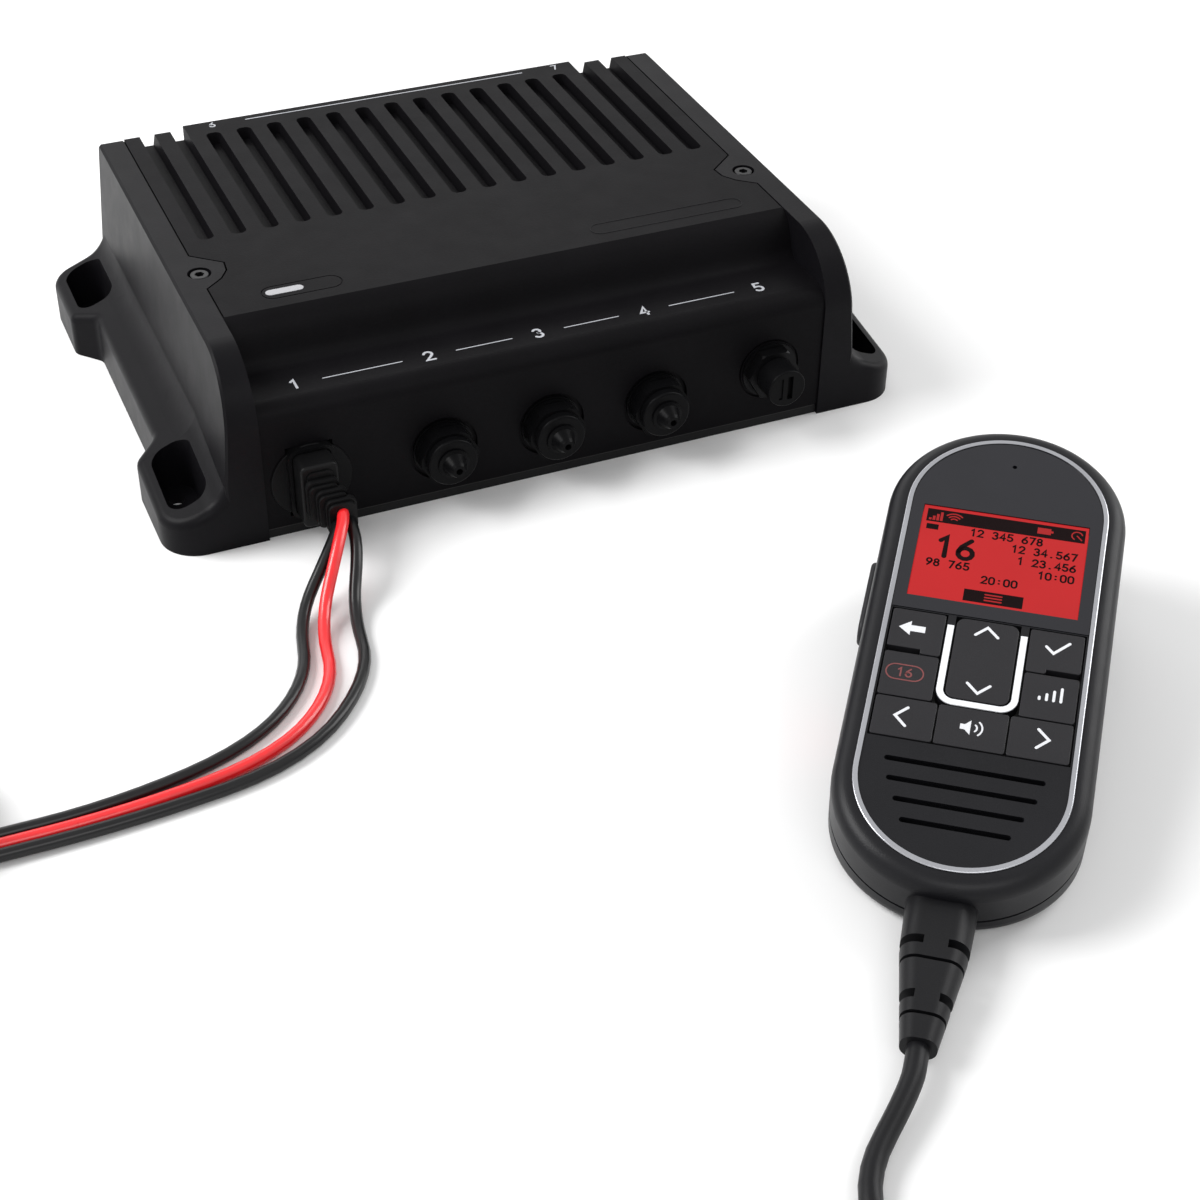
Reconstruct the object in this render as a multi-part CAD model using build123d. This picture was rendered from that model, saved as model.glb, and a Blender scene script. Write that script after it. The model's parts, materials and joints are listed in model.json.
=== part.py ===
from build123d import *
import math
import os

# VHF marine radio: a black-box transceiver with a wired handset, in millimetres.
# The origin is the centre of the transceiver's base face, on the surface that it stands on. The
# ports face -Y, +X runs towards the network port and +Z is up. The handset lies on its back in
# front of the transceiver. It is modelled in its own frame, x across its face, y towards its top
# end and z out of its face, and then put in its place.

# ------------------------------------------------------------------ transceiver sizes
BODY_WIDTH = 222.0           # over the end frames' outer faces, without the ears
BODY_DEPTH = 174.0           # from the fascia to the rear wall
BODY_HEIGHT = 65.5           # deck above the surface
FRAME_THICKNESS = 9.0        # each end frame, along X
FRAME_NOSE_RADIUS = 24.0     # the end frame's upper front corner
FRAME_PROUD = 0.8            # how far the end frames stand past the housing
WALL = 3.5                   # housing walls
DECK_THICKNESS = 8.0
BASE_THICKNESS = 3.0
GASKET_THICKNESS = 0.8
GASKET_WIDTH = 2.6
SCOOP_EDGE = 35.0            # from the fascia back to the deck's front edge
SCOOP_FLOOR = 50.0           # height of the scoop's floor
SCOOP_SHELF = 13.0           # from the deck's front edge to where the scoop turns level
SCOOP_TURN = (7.0, 57.0)     # where the scoop's hollow turns over to the deck: in front of its edge, height
SHOULDER_RADIUS = 6.0
SEAM_WIDTH = 0.55            # groove in the deck along each end frame
SEAM_DEPTH = 0.9
LIP_DEPTH = 3.0              # the rear connector lip stands this far past the rear wall
LIP_HALF = 78.5

GROOVE_COUNT = 17
GROOVE_PITCH = 11.6
GROOVE_TOP = 5.6
GROOVE_DEPTH = 4.2
GROOVE_DRAFT = 11.0          # degrees
GROOVE_ROUND = 2.2           # corner radius of a groove's ends
GROOVE_FRONT = 1.2           # where the grooves end towards the deck's front
GROOVE_REAR_LAND = 9.5       # plain strip at the rear lip
OPEN_GROOVES = 2             # at each end these run out through the rear edge

FLANK_LEAN = 3.8             # how far the outer face leans out on its way down to the shelf
SHELF_HEIGHT = 24.0          # where the shelf meets the outer face
SHELF_DROP = 8.5             # the shelf falls this far on its way out to the ears' outer sides
VALLEY = 7.0                 # size of the hollow curve between the shelf and the outer face
FLANGE_REACH = 16.5          # the flange's outer wall past the end frame's outer face
EAR_REACH = 24.7
EAR_SCREW_REACH = 14.5       # ear screws past the end frame's outer face
EAR_FRONT_INSET = 29.0       # front ear screw behind the fascia
EAR_REAR_INSET = 19.0        # rear ear screw in front of the rear wall
FRONT_EAR_LENGTH = 40.5      # from the end to where the ear's side turns in
REAR_EAR_LENGTH = 35.0
FRONT_EAR_TURN = 7.0         # along Y, from the ear's side to the flange's wall
REAR_EAR_TURN = 9.0
FRONT_EAR_CORNER = 13.0      # corner radii in plan
REAR_EAR_CORNER = 8.0
EAR_INNER_CORNER = 5.0
EAR_DIP = 5.5                # the shelf falls this far along the front ear, down to the front
EAR_DIP_LENGTH = 38.0        # from the front back to where the shelf turns level
EAR_ROUND = 3.6              # edge radius round the flange and ears
EAR_HOLE_RADIUS = 2.6
POCKET_WIDTH = 13.6
POCKET_LENGTH = 30.0
POCKET_CORNER = 5.8
POCKET_REACH = 14.0          # middle of the pockets past the end frame's outer face
FRONT_POCKET_INSET = 22.5    # middle of the front pocket behind the fascia
REAR_POCKET_INSET = 19.5
POCKET_FLOOR = 3.0

TONGUE = ((0.0, -32.0), (6.4, -26.6), (9.3, -22.0), (9.9, -16.8), (0.0, -8.2))  # reach over the deck, y
TONGUE_Y = -21.0             # the top screw's place along Y
TONGUE_DEPTH = 4.5
TONGUE_GAP = 0.6
TOP_SCREW_INSET = 0.5        # inside the housing's side
TOP_SCREW_HEAD = 3.25        # radius
TOP_SCREW_HEAD_HEIGHT = 3.0
TOP_SCREW_SHANK = 2.0        # radius
FIT = 0.06                   # radial running fit of a screw in its hole
BASE_SCREW_SHANK = 1.5
BASE_SCREW_HEAD = 2.9
COUNTERSINK = 1.9
BASE_SCREW_LENGTH = 12.0
FRONT_SCREW_INSET = 25.0     # behind the fascia, clear of the connector board

LENS_LENGTH = 13.0
LENS_WIDTH = 3.4
LENS_X = -78.3
LENS_INSET = 9.5             # status lens centre behind the deck's front edge

PORT_Z = 20.5
POWER_X = -86.0
HANDSET_PORTS_X = (-39.8, -1.0, 37.9)
NETWORK_X = 81.5
NETWORK_Z = 23.5
SOCKET_FLANGE = 10.6
SOCKET_BARREL = 7.0
SOCKET_BORE = 5.2
SOCKET_LENGTH = 7.5
PORT_RECESS = 12.0
PORT_RECESS_DEPTH = 1.4
CAP_CLEARANCE = 0.25
CAP_COLLAR = 10.2
CAP_BODY = 8.7
CAP_LENGTH = 9.6
CAP_TIP = 5.6                # the tip's length past the cap's face
NETWORK_BARREL = 5.9
NETWORK_REACH = 11.5
NETWORK_CAP = 7.0
NETWORK_CAP_REACH = 14.5
NETWORK_NUT = 17.0           # across flats
NETWORK_NUT_HEIGHT = 4.0
POWER_DISC = 13.8
POWER_DISC_THICKNESS = 0.9
PLUG_WIDTH = 12.8
PLUG_HEIGHT = 23.5
PLUG_FACE = 11.0             # plug's end past the fascia
PLUG_GAP = 0.3
PLUG_SHROUD = 1.3
PLUG_RIBS = 3
PLUG_RIB_PITCH = 3.1
PLUG_BEND_X = 4.0            # how far the plug's boot leans over
PLUG_BEND_Z = -3.0
LEAD_DIAMETER = 4.0
LEAD_COIL_CENTRE = (-247.0, -178.0)
LEAD_COIL_RADIUS = 22.6      # of the middle lead's turns
LEAD_COIL_TURNS = 4.6
LEAD_COIL_BASE = 1.0
TIE_WIDTH = 6.0
TIE_THICKNESS = 0.8

ANTENNA_X = 71.0
GPS_X = -68.0
REAR_PORT_Z = 28.0
ANTENNA_RADIUS = 7.9         # 5/8 inch thread of the aerial socket
ANTENNA_REACH = 13.0
ANTENNA_FLANGE = 25.4
ANTENNA_SCREW_PITCH = 18.3
ANTENNA_BORE = 5.3
GPS_RADIUS = 5.5
GPS_REACH = 10.0
GPS_BORE = 3.4

BOARD_THICKNESS = 1.6
BOARD_STAND = 5.5            # board under the deck
BOARD_SIDE_GAP = 12.0        # main board's edges inside the housing's sides
BOARD_FRONT_GAP = 10.0       # behind the deck's front edge
BOARD_REAR_GAP = 11.0        # in front of the rear wall
CONNECTOR_BOARD_GAP = 12.0   # connector board behind the fascia

# ------------------------------------------------------------------ handset sizes
SHELL_LENGTH = 172.0
SHELL_WIDTH = 71.0
SHELL_EDGE = 5.0             # fillet round the front
SEAM_Z = -14.0
SEAL_THICKNESS = 0.8
HEAD_DEPTH = 38.0
TAIL_DEPTH = 21.0
HEAD_START_Y = 24.0          # the back's slope ends here
SHELL_WALL = 2.6
HANDSET_BOARD_Z = -10.4      # front face of the handset's board
BACK_EDGE = 5.0              # fillet round the back
BACK_BEND_RADIUS = 90.0      # where the back's slope ends
FACE_THICKNESS = 3.6
RING_LENGTH = 160.0
RING_WIDTH = 60.0
RING_BAND = 1.6
RING_PROUD = 0.5
RING_SEAT = 1.2
WINDOW_THICKNESS = 1.6
WINDOW_PROUD = 0.2
KEYPAD_TOP = 7.0
KEYPAD_BOTTOM = -39.7
KEYPAD_HALF = 27.9
KEY_GAP = 0.45
KEY_THICKNESS = 2.2
KEY_PROUD = 0.25
KEY_TRAVEL = 0.6
KEY_FLOOR_GAP = 0.7
COLUMN_X = 10.5              # centre line of the white strip's legs
STRIP_WIDTH = 1.9
WEB_WIDTH = 2.3
STRIP_TOP = 3.2
STRIP_BOTTOM = -24.2
STRIP_RADIUS = 4.2
STRIP_PROUD = 0.35
SLOT_Y = -8.4
SLOT_HEIGHT = 2.0
SLOT_LENGTH = 9.6
ROW_X = 10.0
SCREEN_WIDTH = 49.0
SCREEN_HEIGHT = 36.0
SCREEN_Y = 30.6
GRILLE_Y = -46.6
GRILLE_PITCH = 6.5
GRILLE_LENGTHS = (44.0, 41.0, 35.5, 30.0)
GRILLE_SLOT = 1.7
MIC_Y = 69.0
PTT_Y = 26.0
PTT_LENGTH = 30.0
PTT_HEIGHT = 10.0
PTT_Z = -23.5
PTT_PROUD = 2.6
PTT_TRAVEL = 1.6
FLAP_Y = -14.0
FLAP_LENGTH = 22.0
FLAP_HEIGHT = 9.0
FLAP_Z = -20.6
FLAP_THICKNESS = 1.6
STUD_Y = 47.0
STUD_HEAD = 8.0
STUD_NECK = 4.5
STUD_HEAD_THICKNESS = 3.0
STUD_ROUND = 1.0
TILT = 12.5                  # the face's slope, degrees
HEADING = 37.0               # the top end points this far from +Y towards +X
HANDSET_X = 61.5
HANDSET_Y = -263.5
BOOT_LENGTH = 48.0
BOOT_SEAT = 3.0              # the boot's root inside the shells
BOOT_WIDTH = 19.5
BOOT_END = 9.6
BOOT_THICKNESS = 12.5
BOOT_Z = -11.5
BOOT_BEND = 8.5
CORD_DIAMETER = 6.0
CORD_COIL_CENTRE = (-82.0, -457.0)
CORD_COIL_RADIUS = 33.0
CORD_COIL_BASE = 1.0
CORD_COIL_HEIGHT = 15.2
CORD_PLUG_CHORD = 28.0       # the plug lies across the coil, this far from its centre
CORD_COLLAR_RADIUS = 8.8
CORD_NECK_RADIUS = 4.9
COLLAR_FLUTES = 12

# ------------------------------------------------------------------ worked-out places
HALF = BODY_WIDTH / 2
HOUSING_HALF = HALF - FRAME_THICKNESS
REAR = BODY_DEPTH / 2
FASCIA = -REAR
PLUG_END = FASCIA - PLUG_FACE - 0.8 - PLUG_RIBS * PLUG_RIB_PITCH - 0.4
DECK_FRONT = FASCIA + SCOOP_EDGE
CAVITY_ROOF = BODY_HEIGHT - DECK_THICKNESS
RIM_Z = BASE_THICKNESS + GASKET_THICKNESS
FRONT_SHELF = FASCIA + SHOULDER_RADIUS
EAR_SCREW_X = HALF + EAR_SCREW_REACH
POCKET_X = HALF + POCKET_REACH
EAR_FRONT_Y = FASCIA + EAR_FRONT_INSET
EAR_REAR_Y = REAR - EAR_REAR_INSET
FRONT_POCKET_Y = FASCIA + FRONT_POCKET_INSET
REAR_POCKET_Y = REAR - REAR_POCKET_INSET
TOP_SCREW_X = HOUSING_HALF - TOP_SCREW_INSET
FRONT_SCREW_Y = FASCIA + FRONT_SCREW_INSET
BOARD_HALF = HOUSING_HALF - BOARD_SIDE_GAP
BOARD_FRONT = DECK_FRONT + BOARD_FRONT_GAP
BOARD_REAR = REAR - BOARD_REAR_GAP

nodes = {}


def box(x0, x1, y0, y1, z0, z1):
    """A box between two corners."""
    return Pos((x0 + x1) / 2, (y0 + y1) / 2, (z0 + z1) / 2) * Box(abs(x1 - x0), abs(y1 - y0), abs(z1 - z0))


def column(x, y, z0, z1, radius):
    """An upright cylinder."""
    return Pos(x, y, (z0 + z1) / 2) * Cylinder(radius, abs(z1 - z0))


def barrel(x, z, y0, y1, radius):
    """A cylinder along Y."""
    return Pos(x, (y0 + y1) / 2, z) * Rot(90, 0, 0) * Cylinder(radius, abs(y1 - y0))


def profile_x(points, x0, x1):
    """A polygon of (y, z) points, drawn out along X."""
    face = Plane.YZ * make_face(Polyline(*points, close=True))
    return Pos(x0, 0, 0) * extrude(face, x1 - x0)


def profile_y(points, y0, y1):
    """A polygon of (x, z) points, drawn out along Y."""
    face = Plane.XZ * make_face(Polyline(*points, close=True))
    return Pos(0, y1, 0) * extrude(face, y1 - y0)


def quarter_curve(start, corner, end):
    """A quarter of an ellipse, from start to end, tangent to the lines through the corner."""
    pull = 0.5523
    first = [a + pull * (c - a) for a, c in zip(start, corner)]
    last = [b + pull * (c - b) for b, c in zip(end, corner)]
    return Bezier(start, tuple(first), tuple(last), end)


def group(*solids):
    """Separate solids that share one node."""
    return Compound(children=list(solids))


def mirrored(x):
    """The two places either side of the middle."""
    return (-x, x)


# ------------------------------------------------------------------ housing
def housing_outline():
    """The housing's side profile: fascia, shoulder, scoop, deck and rear wall."""
    shelf = DECK_FRONT - SCOOP_SHELF
    turn_y = DECK_FRONT - SCOOP_TURN[0]
    turn_z = SCOOP_TURN[1]
    lines = [
        Line((FASCIA, RIM_Z), (FASCIA, SCOOP_FLOOR - SHOULDER_RADIUS)),
        CenterArc((FRONT_SHELF, SCOOP_FLOOR - SHOULDER_RADIUS), SHOULDER_RADIUS, 90, 90),
        Line((FRONT_SHELF, SCOOP_FLOOR), (shelf, SCOOP_FLOOR)),
        Bezier((shelf, SCOOP_FLOOR), (shelf + 4, SCOOP_FLOOR), (turn_y - 1.4, turn_z - 4.2), (turn_y, turn_z)),
        Bezier((turn_y, turn_z), (turn_y + 1.2, turn_z + 3.6), (DECK_FRONT - 4, BODY_HEIGHT - 1.6),
               (DECK_FRONT, BODY_HEIGHT)),
        Line((DECK_FRONT, BODY_HEIGHT), (REAR, BODY_HEIGHT)),
        Line((REAR, BODY_HEIGHT), (REAR, RIM_Z)),
        Line((REAR, RIM_Z), (FASCIA, RIM_Z)),
    ]
    return make_face(Wire(Curve() + lines).edges())


def make_housing():
    body = Pos(-HOUSING_HALF, 0, 0) * extrude(Plane.YZ * housing_outline(), 2 * HOUSING_HALF)
    lip = box(-LIP_HALF, LIP_HALF, REAR - 1, REAR + LIP_DEPTH, RIM_Z, BODY_HEIGHT)
    body = body + lip
    shelf_under = SCOOP_FLOOR - WALL - 1
    cavity = profile_x([
        (FASCIA + WALL, 0), (FASCIA + WALL, SCOOP_FLOOR - SHOULDER_RADIUS - 3),
        (FRONT_SHELF + 1, shelf_under), (DECK_FRONT - SCOOP_SHELF + 5, shelf_under),
        (DECK_FRONT + 5, CAVITY_ROOF), (REAR - WALL, CAVITY_ROOF), (REAR - WALL, 0),
    ], -HOUSING_HALF + WALL, HOUSING_HALF - WALL)
    body = body - cavity

    first = -GROOVE_PITCH * (GROOVE_COUNT - 1) / 2
    for index in range(GROOVE_COUNT):
        runs_out = index < OPEN_GROOVES or index >= GROOVE_COUNT - OPEN_GROOVES
        rear_end = REAR + LIP_DEPTH + 2 * GROOVE_TOP if runs_out else REAR + LIP_DEPTH - GROOVE_REAR_LAND
        middle = (GROOVE_FRONT + rear_end) / 2
        mouth = RectangleRounded(GROOVE_TOP, rear_end - GROOVE_FRONT, GROOVE_ROUND)
        groove = extrude(mouth, GROOVE_DEPTH, dir=(0, 0, -1), taper=GROOVE_DRAFT)
        body = body - Pos(first + index * GROOVE_PITCH, middle, BODY_HEIGHT) * groove

    for side in (-1, 1):
        body = body - box(side * (HOUSING_HALF - SEAM_WIDTH), side * HALF, DECK_FRONT, REAR + 1,
                          BODY_HEIGHT - SEAM_DEPTH, BODY_HEIGHT + 1)
        x = side * TOP_SCREW_X
        pocket = tongue_shape(side, TONGUE_GAP)
        body = body - pocket
        post_top = BODY_HEIGHT - TONGUE_DEPTH - TONGUE_GAP
        post = box(side * HOUSING_HALF, side * (HOUSING_HALF - 12), TONGUE_Y - 6, TONGUE_Y + 6,
                   post_top - 14, post_top)
        body = body + post
        body = body - column(x, TONGUE_Y, post_top - 12, BODY_HEIGHT + 1, TOP_SCREW_SHANK + FIT)
        body = body - box(side * HOUSING_HALF, side * (HOUSING_HALF + 5), TONGUE_Y - 8, TONGUE_Y + 8, 0, 100)

    body = body - lens_shape(LENS_LENGTH + 2 * FIT, LENS_WIDTH + 2 * FIT, 1.8, BODY_HEIGHT + 1)
    body = body - (lens_shape(LENS_LENGTH + 15, LENS_WIDTH + 5, BODY_HEIGHT - 0.3, BODY_HEIGHT + 1, 6)
                   - lens_shape(LENS_LENGTH + 14.2, LENS_WIDTH + 4.2, BODY_HEIGHT - 1, BODY_HEIGHT + 2, 6))

    for x in HANDSET_PORTS_X:
        body = body - barrel(x, PORT_Z, FASCIA - 1, FASCIA + PORT_RECESS_DEPTH, PORT_RECESS)
        body = body - barrel(x, PORT_Z, FASCIA - 1, FASCIA + WALL + 1, SOCKET_BARREL + FIT)
    body = body - (barrel(NETWORK_X, NETWORK_Z, FASCIA - 1, FASCIA + 0.8, 11.6)
                   - barrel(NETWORK_X, NETWORK_Z, FASCIA - 2, FASCIA + 2, 10.9))
    body = body - barrel(NETWORK_X, NETWORK_Z, FASCIA - 1, FASCIA + WALL + 1, NETWORK_BARREL + FIT)
    shroud_w = PLUG_WIDTH + 2 * (PLUG_GAP + PLUG_SHROUD)
    shroud_h = PLUG_HEIGHT + 2 * (PLUG_GAP + PLUG_SHROUD)
    body = body - box(POWER_X - shroud_w / 2, POWER_X + shroud_w / 2, FASCIA - 1, FASCIA + WALL + 1,
                      PORT_Z - shroud_h / 2, PORT_Z + shroud_h / 2)
    rear_face = REAR + LIP_DEPTH
    body = body - barrel(ANTENNA_X, REAR_PORT_Z, REAR - WALL - 1, rear_face + 1, ANTENNA_RADIUS + FIT)
    body = body - barrel(GPS_X, REAR_PORT_Z, REAR - WALL - 1, rear_face + 1, GPS_RADIUS + FIT)
    for dx in mirrored(ANTENNA_SCREW_PITCH / 2):
        for dz in mirrored(ANTENNA_SCREW_PITCH / 2):
            body = body - barrel(ANTENNA_X + dx, REAR_PORT_Z + dz, rear_face - 6, rear_face + 1, 1.5 + FIT)

    for x, y in base_screw_places():
        boss_top = SCOOP_FLOOR - WALL if y == FRONT_SCREW_Y else RIM_Z + BASE_SCREW_LENGTH + 3
        body = body + (column(x, y, RIM_Z, boss_top, 4.5) & housing_inside())
        body = body - column(x, y, RIM_Z - 1, RIM_Z + BASE_SCREW_LENGTH, BASE_SCREW_SHANK + FIT)
    for x, y in board_places():
        body = body + column(x, y, CAVITY_ROOF - BOARD_STAND, CAVITY_ROOF + 0.5, 3.5)
        body = body - column(x, y, CAVITY_ROOF - BOARD_STAND - 1, CAVITY_ROOF - 0.5 + 2, 1.25 + FIT)
    return body


def housing_inside():
    """The block that the housing's inner bosses stay within."""
    return box(-HOUSING_HALF + 1, HOUSING_HALF - 1, FASCIA + 1, REAR - 1, 0, CAVITY_ROOF)


def base_screw_places():
    side = HOUSING_HALF - WALL - 4.0
    back = REAR - WALL - 4.0
    return [(x, y) for x in (-side, 0.0, side) for y in (FRONT_SCREW_Y, back)]


def board_places():
    side = BOARD_HALF - 6.0
    return [(x, y) for x in (-side, side) for y in (BOARD_FRONT + 6.0, BOARD_REAR - 10.0)]


def lens_shape(length, width, z0, z1, shift=0.0):
    """An upright pill at the status lens's place; z0 under 10 counts down from the deck."""
    low = BODY_HEIGHT - z0 if z0 < 10 else z0
    slot = Pos(LENS_X + shift, DECK_FRONT + LENS_INSET, low) * SlotOverall(length, width)
    return extrude(slot, z1 - low)


def tongue_shape(side, gap):
    """The end frame's tongue that lies in the deck, larger by a gap for its pocket."""
    low = BODY_HEIGHT - TONGUE_DEPTH - gap
    face = make_face(Polyline(*[(side * (HOUSING_HALF + 0.01 - reach), y) for reach, y in TONGUE], close=True))
    if gap:
        face = offset(face, gap, kind=Kind.INTERSECTION)
    top = BODY_HEIGHT + (1 if gap else 0)
    return Pos(0, 0, low) * extrude(face, top - low)


# ------------------------------------------------------------------ end frames
def foot_plan(front, rear):
    """Plan outline of the right end frame's foot: the flange with an ear at each end."""
    wall = HALF + FLANGE_REACH
    side = HALF + EAR_REACH
    front_turn = front + FRONT_EAR_LENGTH
    rear_turn = rear - REAR_EAR_LENGTH
    face = make_face(Polyline(
        (HOUSING_HALF, front), (side, front), (side, front_turn), (wall, front_turn + FRONT_EAR_TURN),
        (wall, rear_turn - REAR_EAR_TURN), (side, rear_turn), (side, rear), (HOUSING_HALF, rear), close=True))
    corners = [v for v in face.vertices() if v.X > side - 1]
    front_corner = [v for v in corners if v.Y < front + 1]
    rear_corner = [v for v in corners if v.Y > rear - 1]
    face = fillet(front_corner, FRONT_EAR_CORNER)
    face = fillet([v for v in face.vertices() if v.distance_to(rear_corner[0]) < 0.1], REAR_EAR_CORNER)
    turns = [v for v in face.vertices() if front + FRONT_EAR_CORNER + 1 < v.Y < rear - REAR_EAR_CORNER - 1]
    return fillet([v for v in turns if v.X > HALF + 1], EAR_INNER_CORNER)


def make_foot(front, rear):
    """The foot: sloping shelf that dips towards the front, upright outer wall and an ear at each end."""
    side = HALF + EAR_REACH
    shelf_start = HALF + FLANK_LEAN
    low = SHELF_HEIGHT - SHELF_DROP
    slope = SHELF_DROP / (side - shelf_start)
    valley_top = shelf_start - VALLEY * FLANK_LEAN / (BODY_HEIGHT - SHELF_HEIGHT) - FIT
    across = [
        Line((HOUSING_HALF, 0), (side, 0)),
        Line((side, 0), (side, low)),
        Line((side, low), (shelf_start + VALLEY, SHELF_HEIGHT - slope * VALLEY)),
        quarter_curve((shelf_start + VALLEY, SHELF_HEIGHT - slope * VALLEY), (shelf_start, SHELF_HEIGHT),
                      (valley_top, SHELF_HEIGHT + VALLEY)),
        Line((valley_top, SHELF_HEIGHT + VALLEY), (HOUSING_HALF, SHELF_HEIGHT + VALLEY)),
        Line((HOUSING_HALF, SHELF_HEIGHT + VALLEY), (HOUSING_HALF, 0)),
    ]
    section = Plane.XZ * make_face(Wire(Curve() + across).edges())
    level_y = front + EAR_DIP_LENGTH
    level = Pos(0, rear, 0) * extrude(section, rear - level_y)
    fall = (0, -EAR_DIP_LENGTH, -EAR_DIP)
    dipped = Pos(0, level_y, 0) * extrude(section, math.hypot(EAR_DIP_LENGTH, EAR_DIP), dir=fall)
    plan = foot_plan(front, rear)
    foot = extrude(plan, 2 * SHELF_HEIGHT) & (level + dipped)
    rim = [e for e in foot.edges() if e.center().X > shelf_start + VALLEY]
    rim = [e for e in rim if e.center().Z > POCKET_FLOOR and abs((e % 0.5).Z) < 0.9]
    return fillet(rim, EAR_ROUND)


def make_right_frame():
    front = FASCIA - FRAME_PROUD
    rear = REAR + FRAME_PROUD
    side_face = make_face(Polyline((front, 0), (front, BODY_HEIGHT), (rear, BODY_HEIGHT), (rear, 0), close=True))
    nose = [v for v in side_face.vertices() if v.X < 0 and v.Y > 1]
    side_face = fillet(nose, FRAME_NOSE_RADIUS)
    heel = [v for v in side_face.vertices() if v.X > 0 and v.Y > 1]
    side_face = fillet(heel, 2.0)
    plate = Pos(HOUSING_HALF, 0, 0) * extrude(Plane.YZ * side_face, FRAME_THICKNESS + FLANK_LEAN)
    shelf_start = HALF + FLANK_LEAN
    plate = plate & profile_y([(HOUSING_HALF, 0), (shelf_start, 0), (shelf_start, SHELF_HEIGHT),
                               (HALF, BODY_HEIGHT), (HOUSING_HALF, BODY_HEIGHT)], front - 1, rear + 1)
    outer = [e for e in plate.edges() if e.center().X > HALF - 0.5 and e.center().Z > SHELF_HEIGHT + 1]
    plate = chamfer(outer, 0.8)
    body = plate + make_foot(front, rear)
    hollow = box(HOUSING_HALF - 1, HALF - 2.5, FASCIA + 8, REAR - 6, 12, BODY_HEIGHT - FRAME_NOSE_RADIUS)
    body = body - hollow
    mouth = RectangleRounded(POCKET_WIDTH, POCKET_LENGTH, POCKET_CORNER)
    for screw_y, pocket_y in ((EAR_FRONT_Y, FRONT_POCKET_Y), (EAR_REAR_Y, REAR_POCKET_Y)):
        body = body - Pos(POCKET_X, pocket_y, POCKET_FLOOR) * extrude(mouth, BODY_HEIGHT)
        body = body - column(EAR_SCREW_X, screw_y, -1, POCKET_FLOOR + 1, EAR_HOLE_RADIUS)
    body = body + tongue_shape(1, 0)
    low = BODY_HEIGHT - TONGUE_DEPTH
    body = body - column(TOP_SCREW_X, TONGUE_Y, BODY_HEIGHT - TOP_SCREW_HEAD_HEIGHT - 0.3, BODY_HEIGHT + 1,
                         TOP_SCREW_HEAD + 0.8)
    body = body - column(TOP_SCREW_X, TONGUE_Y, low - 20, BODY_HEIGHT + 1, TOP_SCREW_SHANK + FIT)
    return body


def make_top_screws():
    top = BODY_HEIGHT - 0.3
    screws = []
    for x in mirrored(TOP_SCREW_X):
        head = column(x, TONGUE_Y, top - TOP_SCREW_HEAD_HEIGHT, top, TOP_SCREW_HEAD)
        head = fillet(head.edges().group_by(Axis.Z)[-1], 0.4)
        shank = column(x, TONGUE_Y, top - 14, top - TOP_SCREW_HEAD_HEIGHT, TOP_SCREW_SHANK)
        socket = Pos(x, TONGUE_Y, top - 1.8) * extrude(RegularPolygon(1.7, 6), 3)
        screws.append(head + shank - socket)
    return group(*screws)


# ------------------------------------------------------------------ base
def make_base_plate():
    x = HOUSING_HALF - 0.1
    y = REAR - 0.5
    plate = box(-x, x, -y, y, 0, BASE_THICKNESS)
    for sx, sy in base_screw_places():
        plate = plate - column(sx, sy, -1, BASE_THICKNESS + 1, BASE_SCREW_SHANK + FIT)
        mouth = BASE_SCREW_SHANK + FIT + COUNTERSINK
        plate = plate - Pos(sx, sy, COUNTERSINK / 2) * Cone(mouth, BASE_SCREW_SHANK + FIT, COUNTERSINK)
    return plate


def make_gasket():
    x = HOUSING_HALF - 0.4
    y = REAR - 0.6
    ring = box(-x, x, -y, y, BASE_THICKNESS, RIM_Z)
    inner = GASKET_WIDTH
    return ring - box(-x + inner, x - inner, -y + inner, y - inner, 0, RIM_Z + 1)


def make_base_screws():
    screws = []
    for x, y in base_screw_places():
        depth = BASE_SCREW_HEAD - BASE_SCREW_SHANK
        head = Pos(x, y, COUNTERSINK - depth / 2) * Cone(BASE_SCREW_HEAD, BASE_SCREW_SHANK, depth)
        shank = column(x, y, COUNTERSINK, RIM_Z + BASE_SCREW_LENGTH - 1, BASE_SCREW_SHANK)
        cross = box(x - 1.6, x + 1.6, y - 0.4, y + 0.4, 0, 1.2)
        cross = cross + box(x - 0.4, x + 0.4, y - 1.6, y + 1.6, 0, 1.2)
        screws.append(head + shank - cross)
    return group(*screws)


# ------------------------------------------------------------------ inside the transceiver
def make_main_board():
    top = CAVITY_ROOF - BOARD_STAND
    board = box(-BOARD_HALF, BOARD_HALF, BOARD_FRONT, BOARD_REAR, top - BOARD_THICKNESS, top)
    for x, y in board_places():
        board = board - column(x, y, top - 5, top + 5, 1.25 + FIT)
    chips = [box(-60, -38, BOARD_REAR - 36, BOARD_REAR - 14, top, top + 2.2),
             box(-30, -18, BOARD_REAR - 28, BOARD_REAR - 16, top, top + 1.4),
             box(-70, -52, BOARD_FRONT + 22, BOARD_FRONT + 38, top, top + 2.6)]
    for chip in chips:
        board = board + chip
    return board


def make_board_screws():
    under = CAVITY_ROOF - BOARD_STAND - BOARD_THICKNESS
    screws = []
    for x, y in board_places():
        screws.append(column(x, y, under - 1.8, under, 2.4) + column(x, y, under, CAVITY_ROOF - 1, 1.25))
    return group(*screws)


def make_power_module():
    low = CAVITY_ROOF - BOARD_STAND
    return box(10, 70, 10, 40, low, CAVITY_ROOF)


def make_shield_can():
    high = CAVITY_ROOF - BOARD_STAND - BOARD_THICKNESS
    front = BOARD_FRONT + 22
    rear = BOARD_REAR - 16
    can = box(-5, 75, front, rear, high - 8, high)
    return can - box(-4.4, 74.4, front + 0.6, rear - 0.6, high - 7.4, high + 1)


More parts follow.
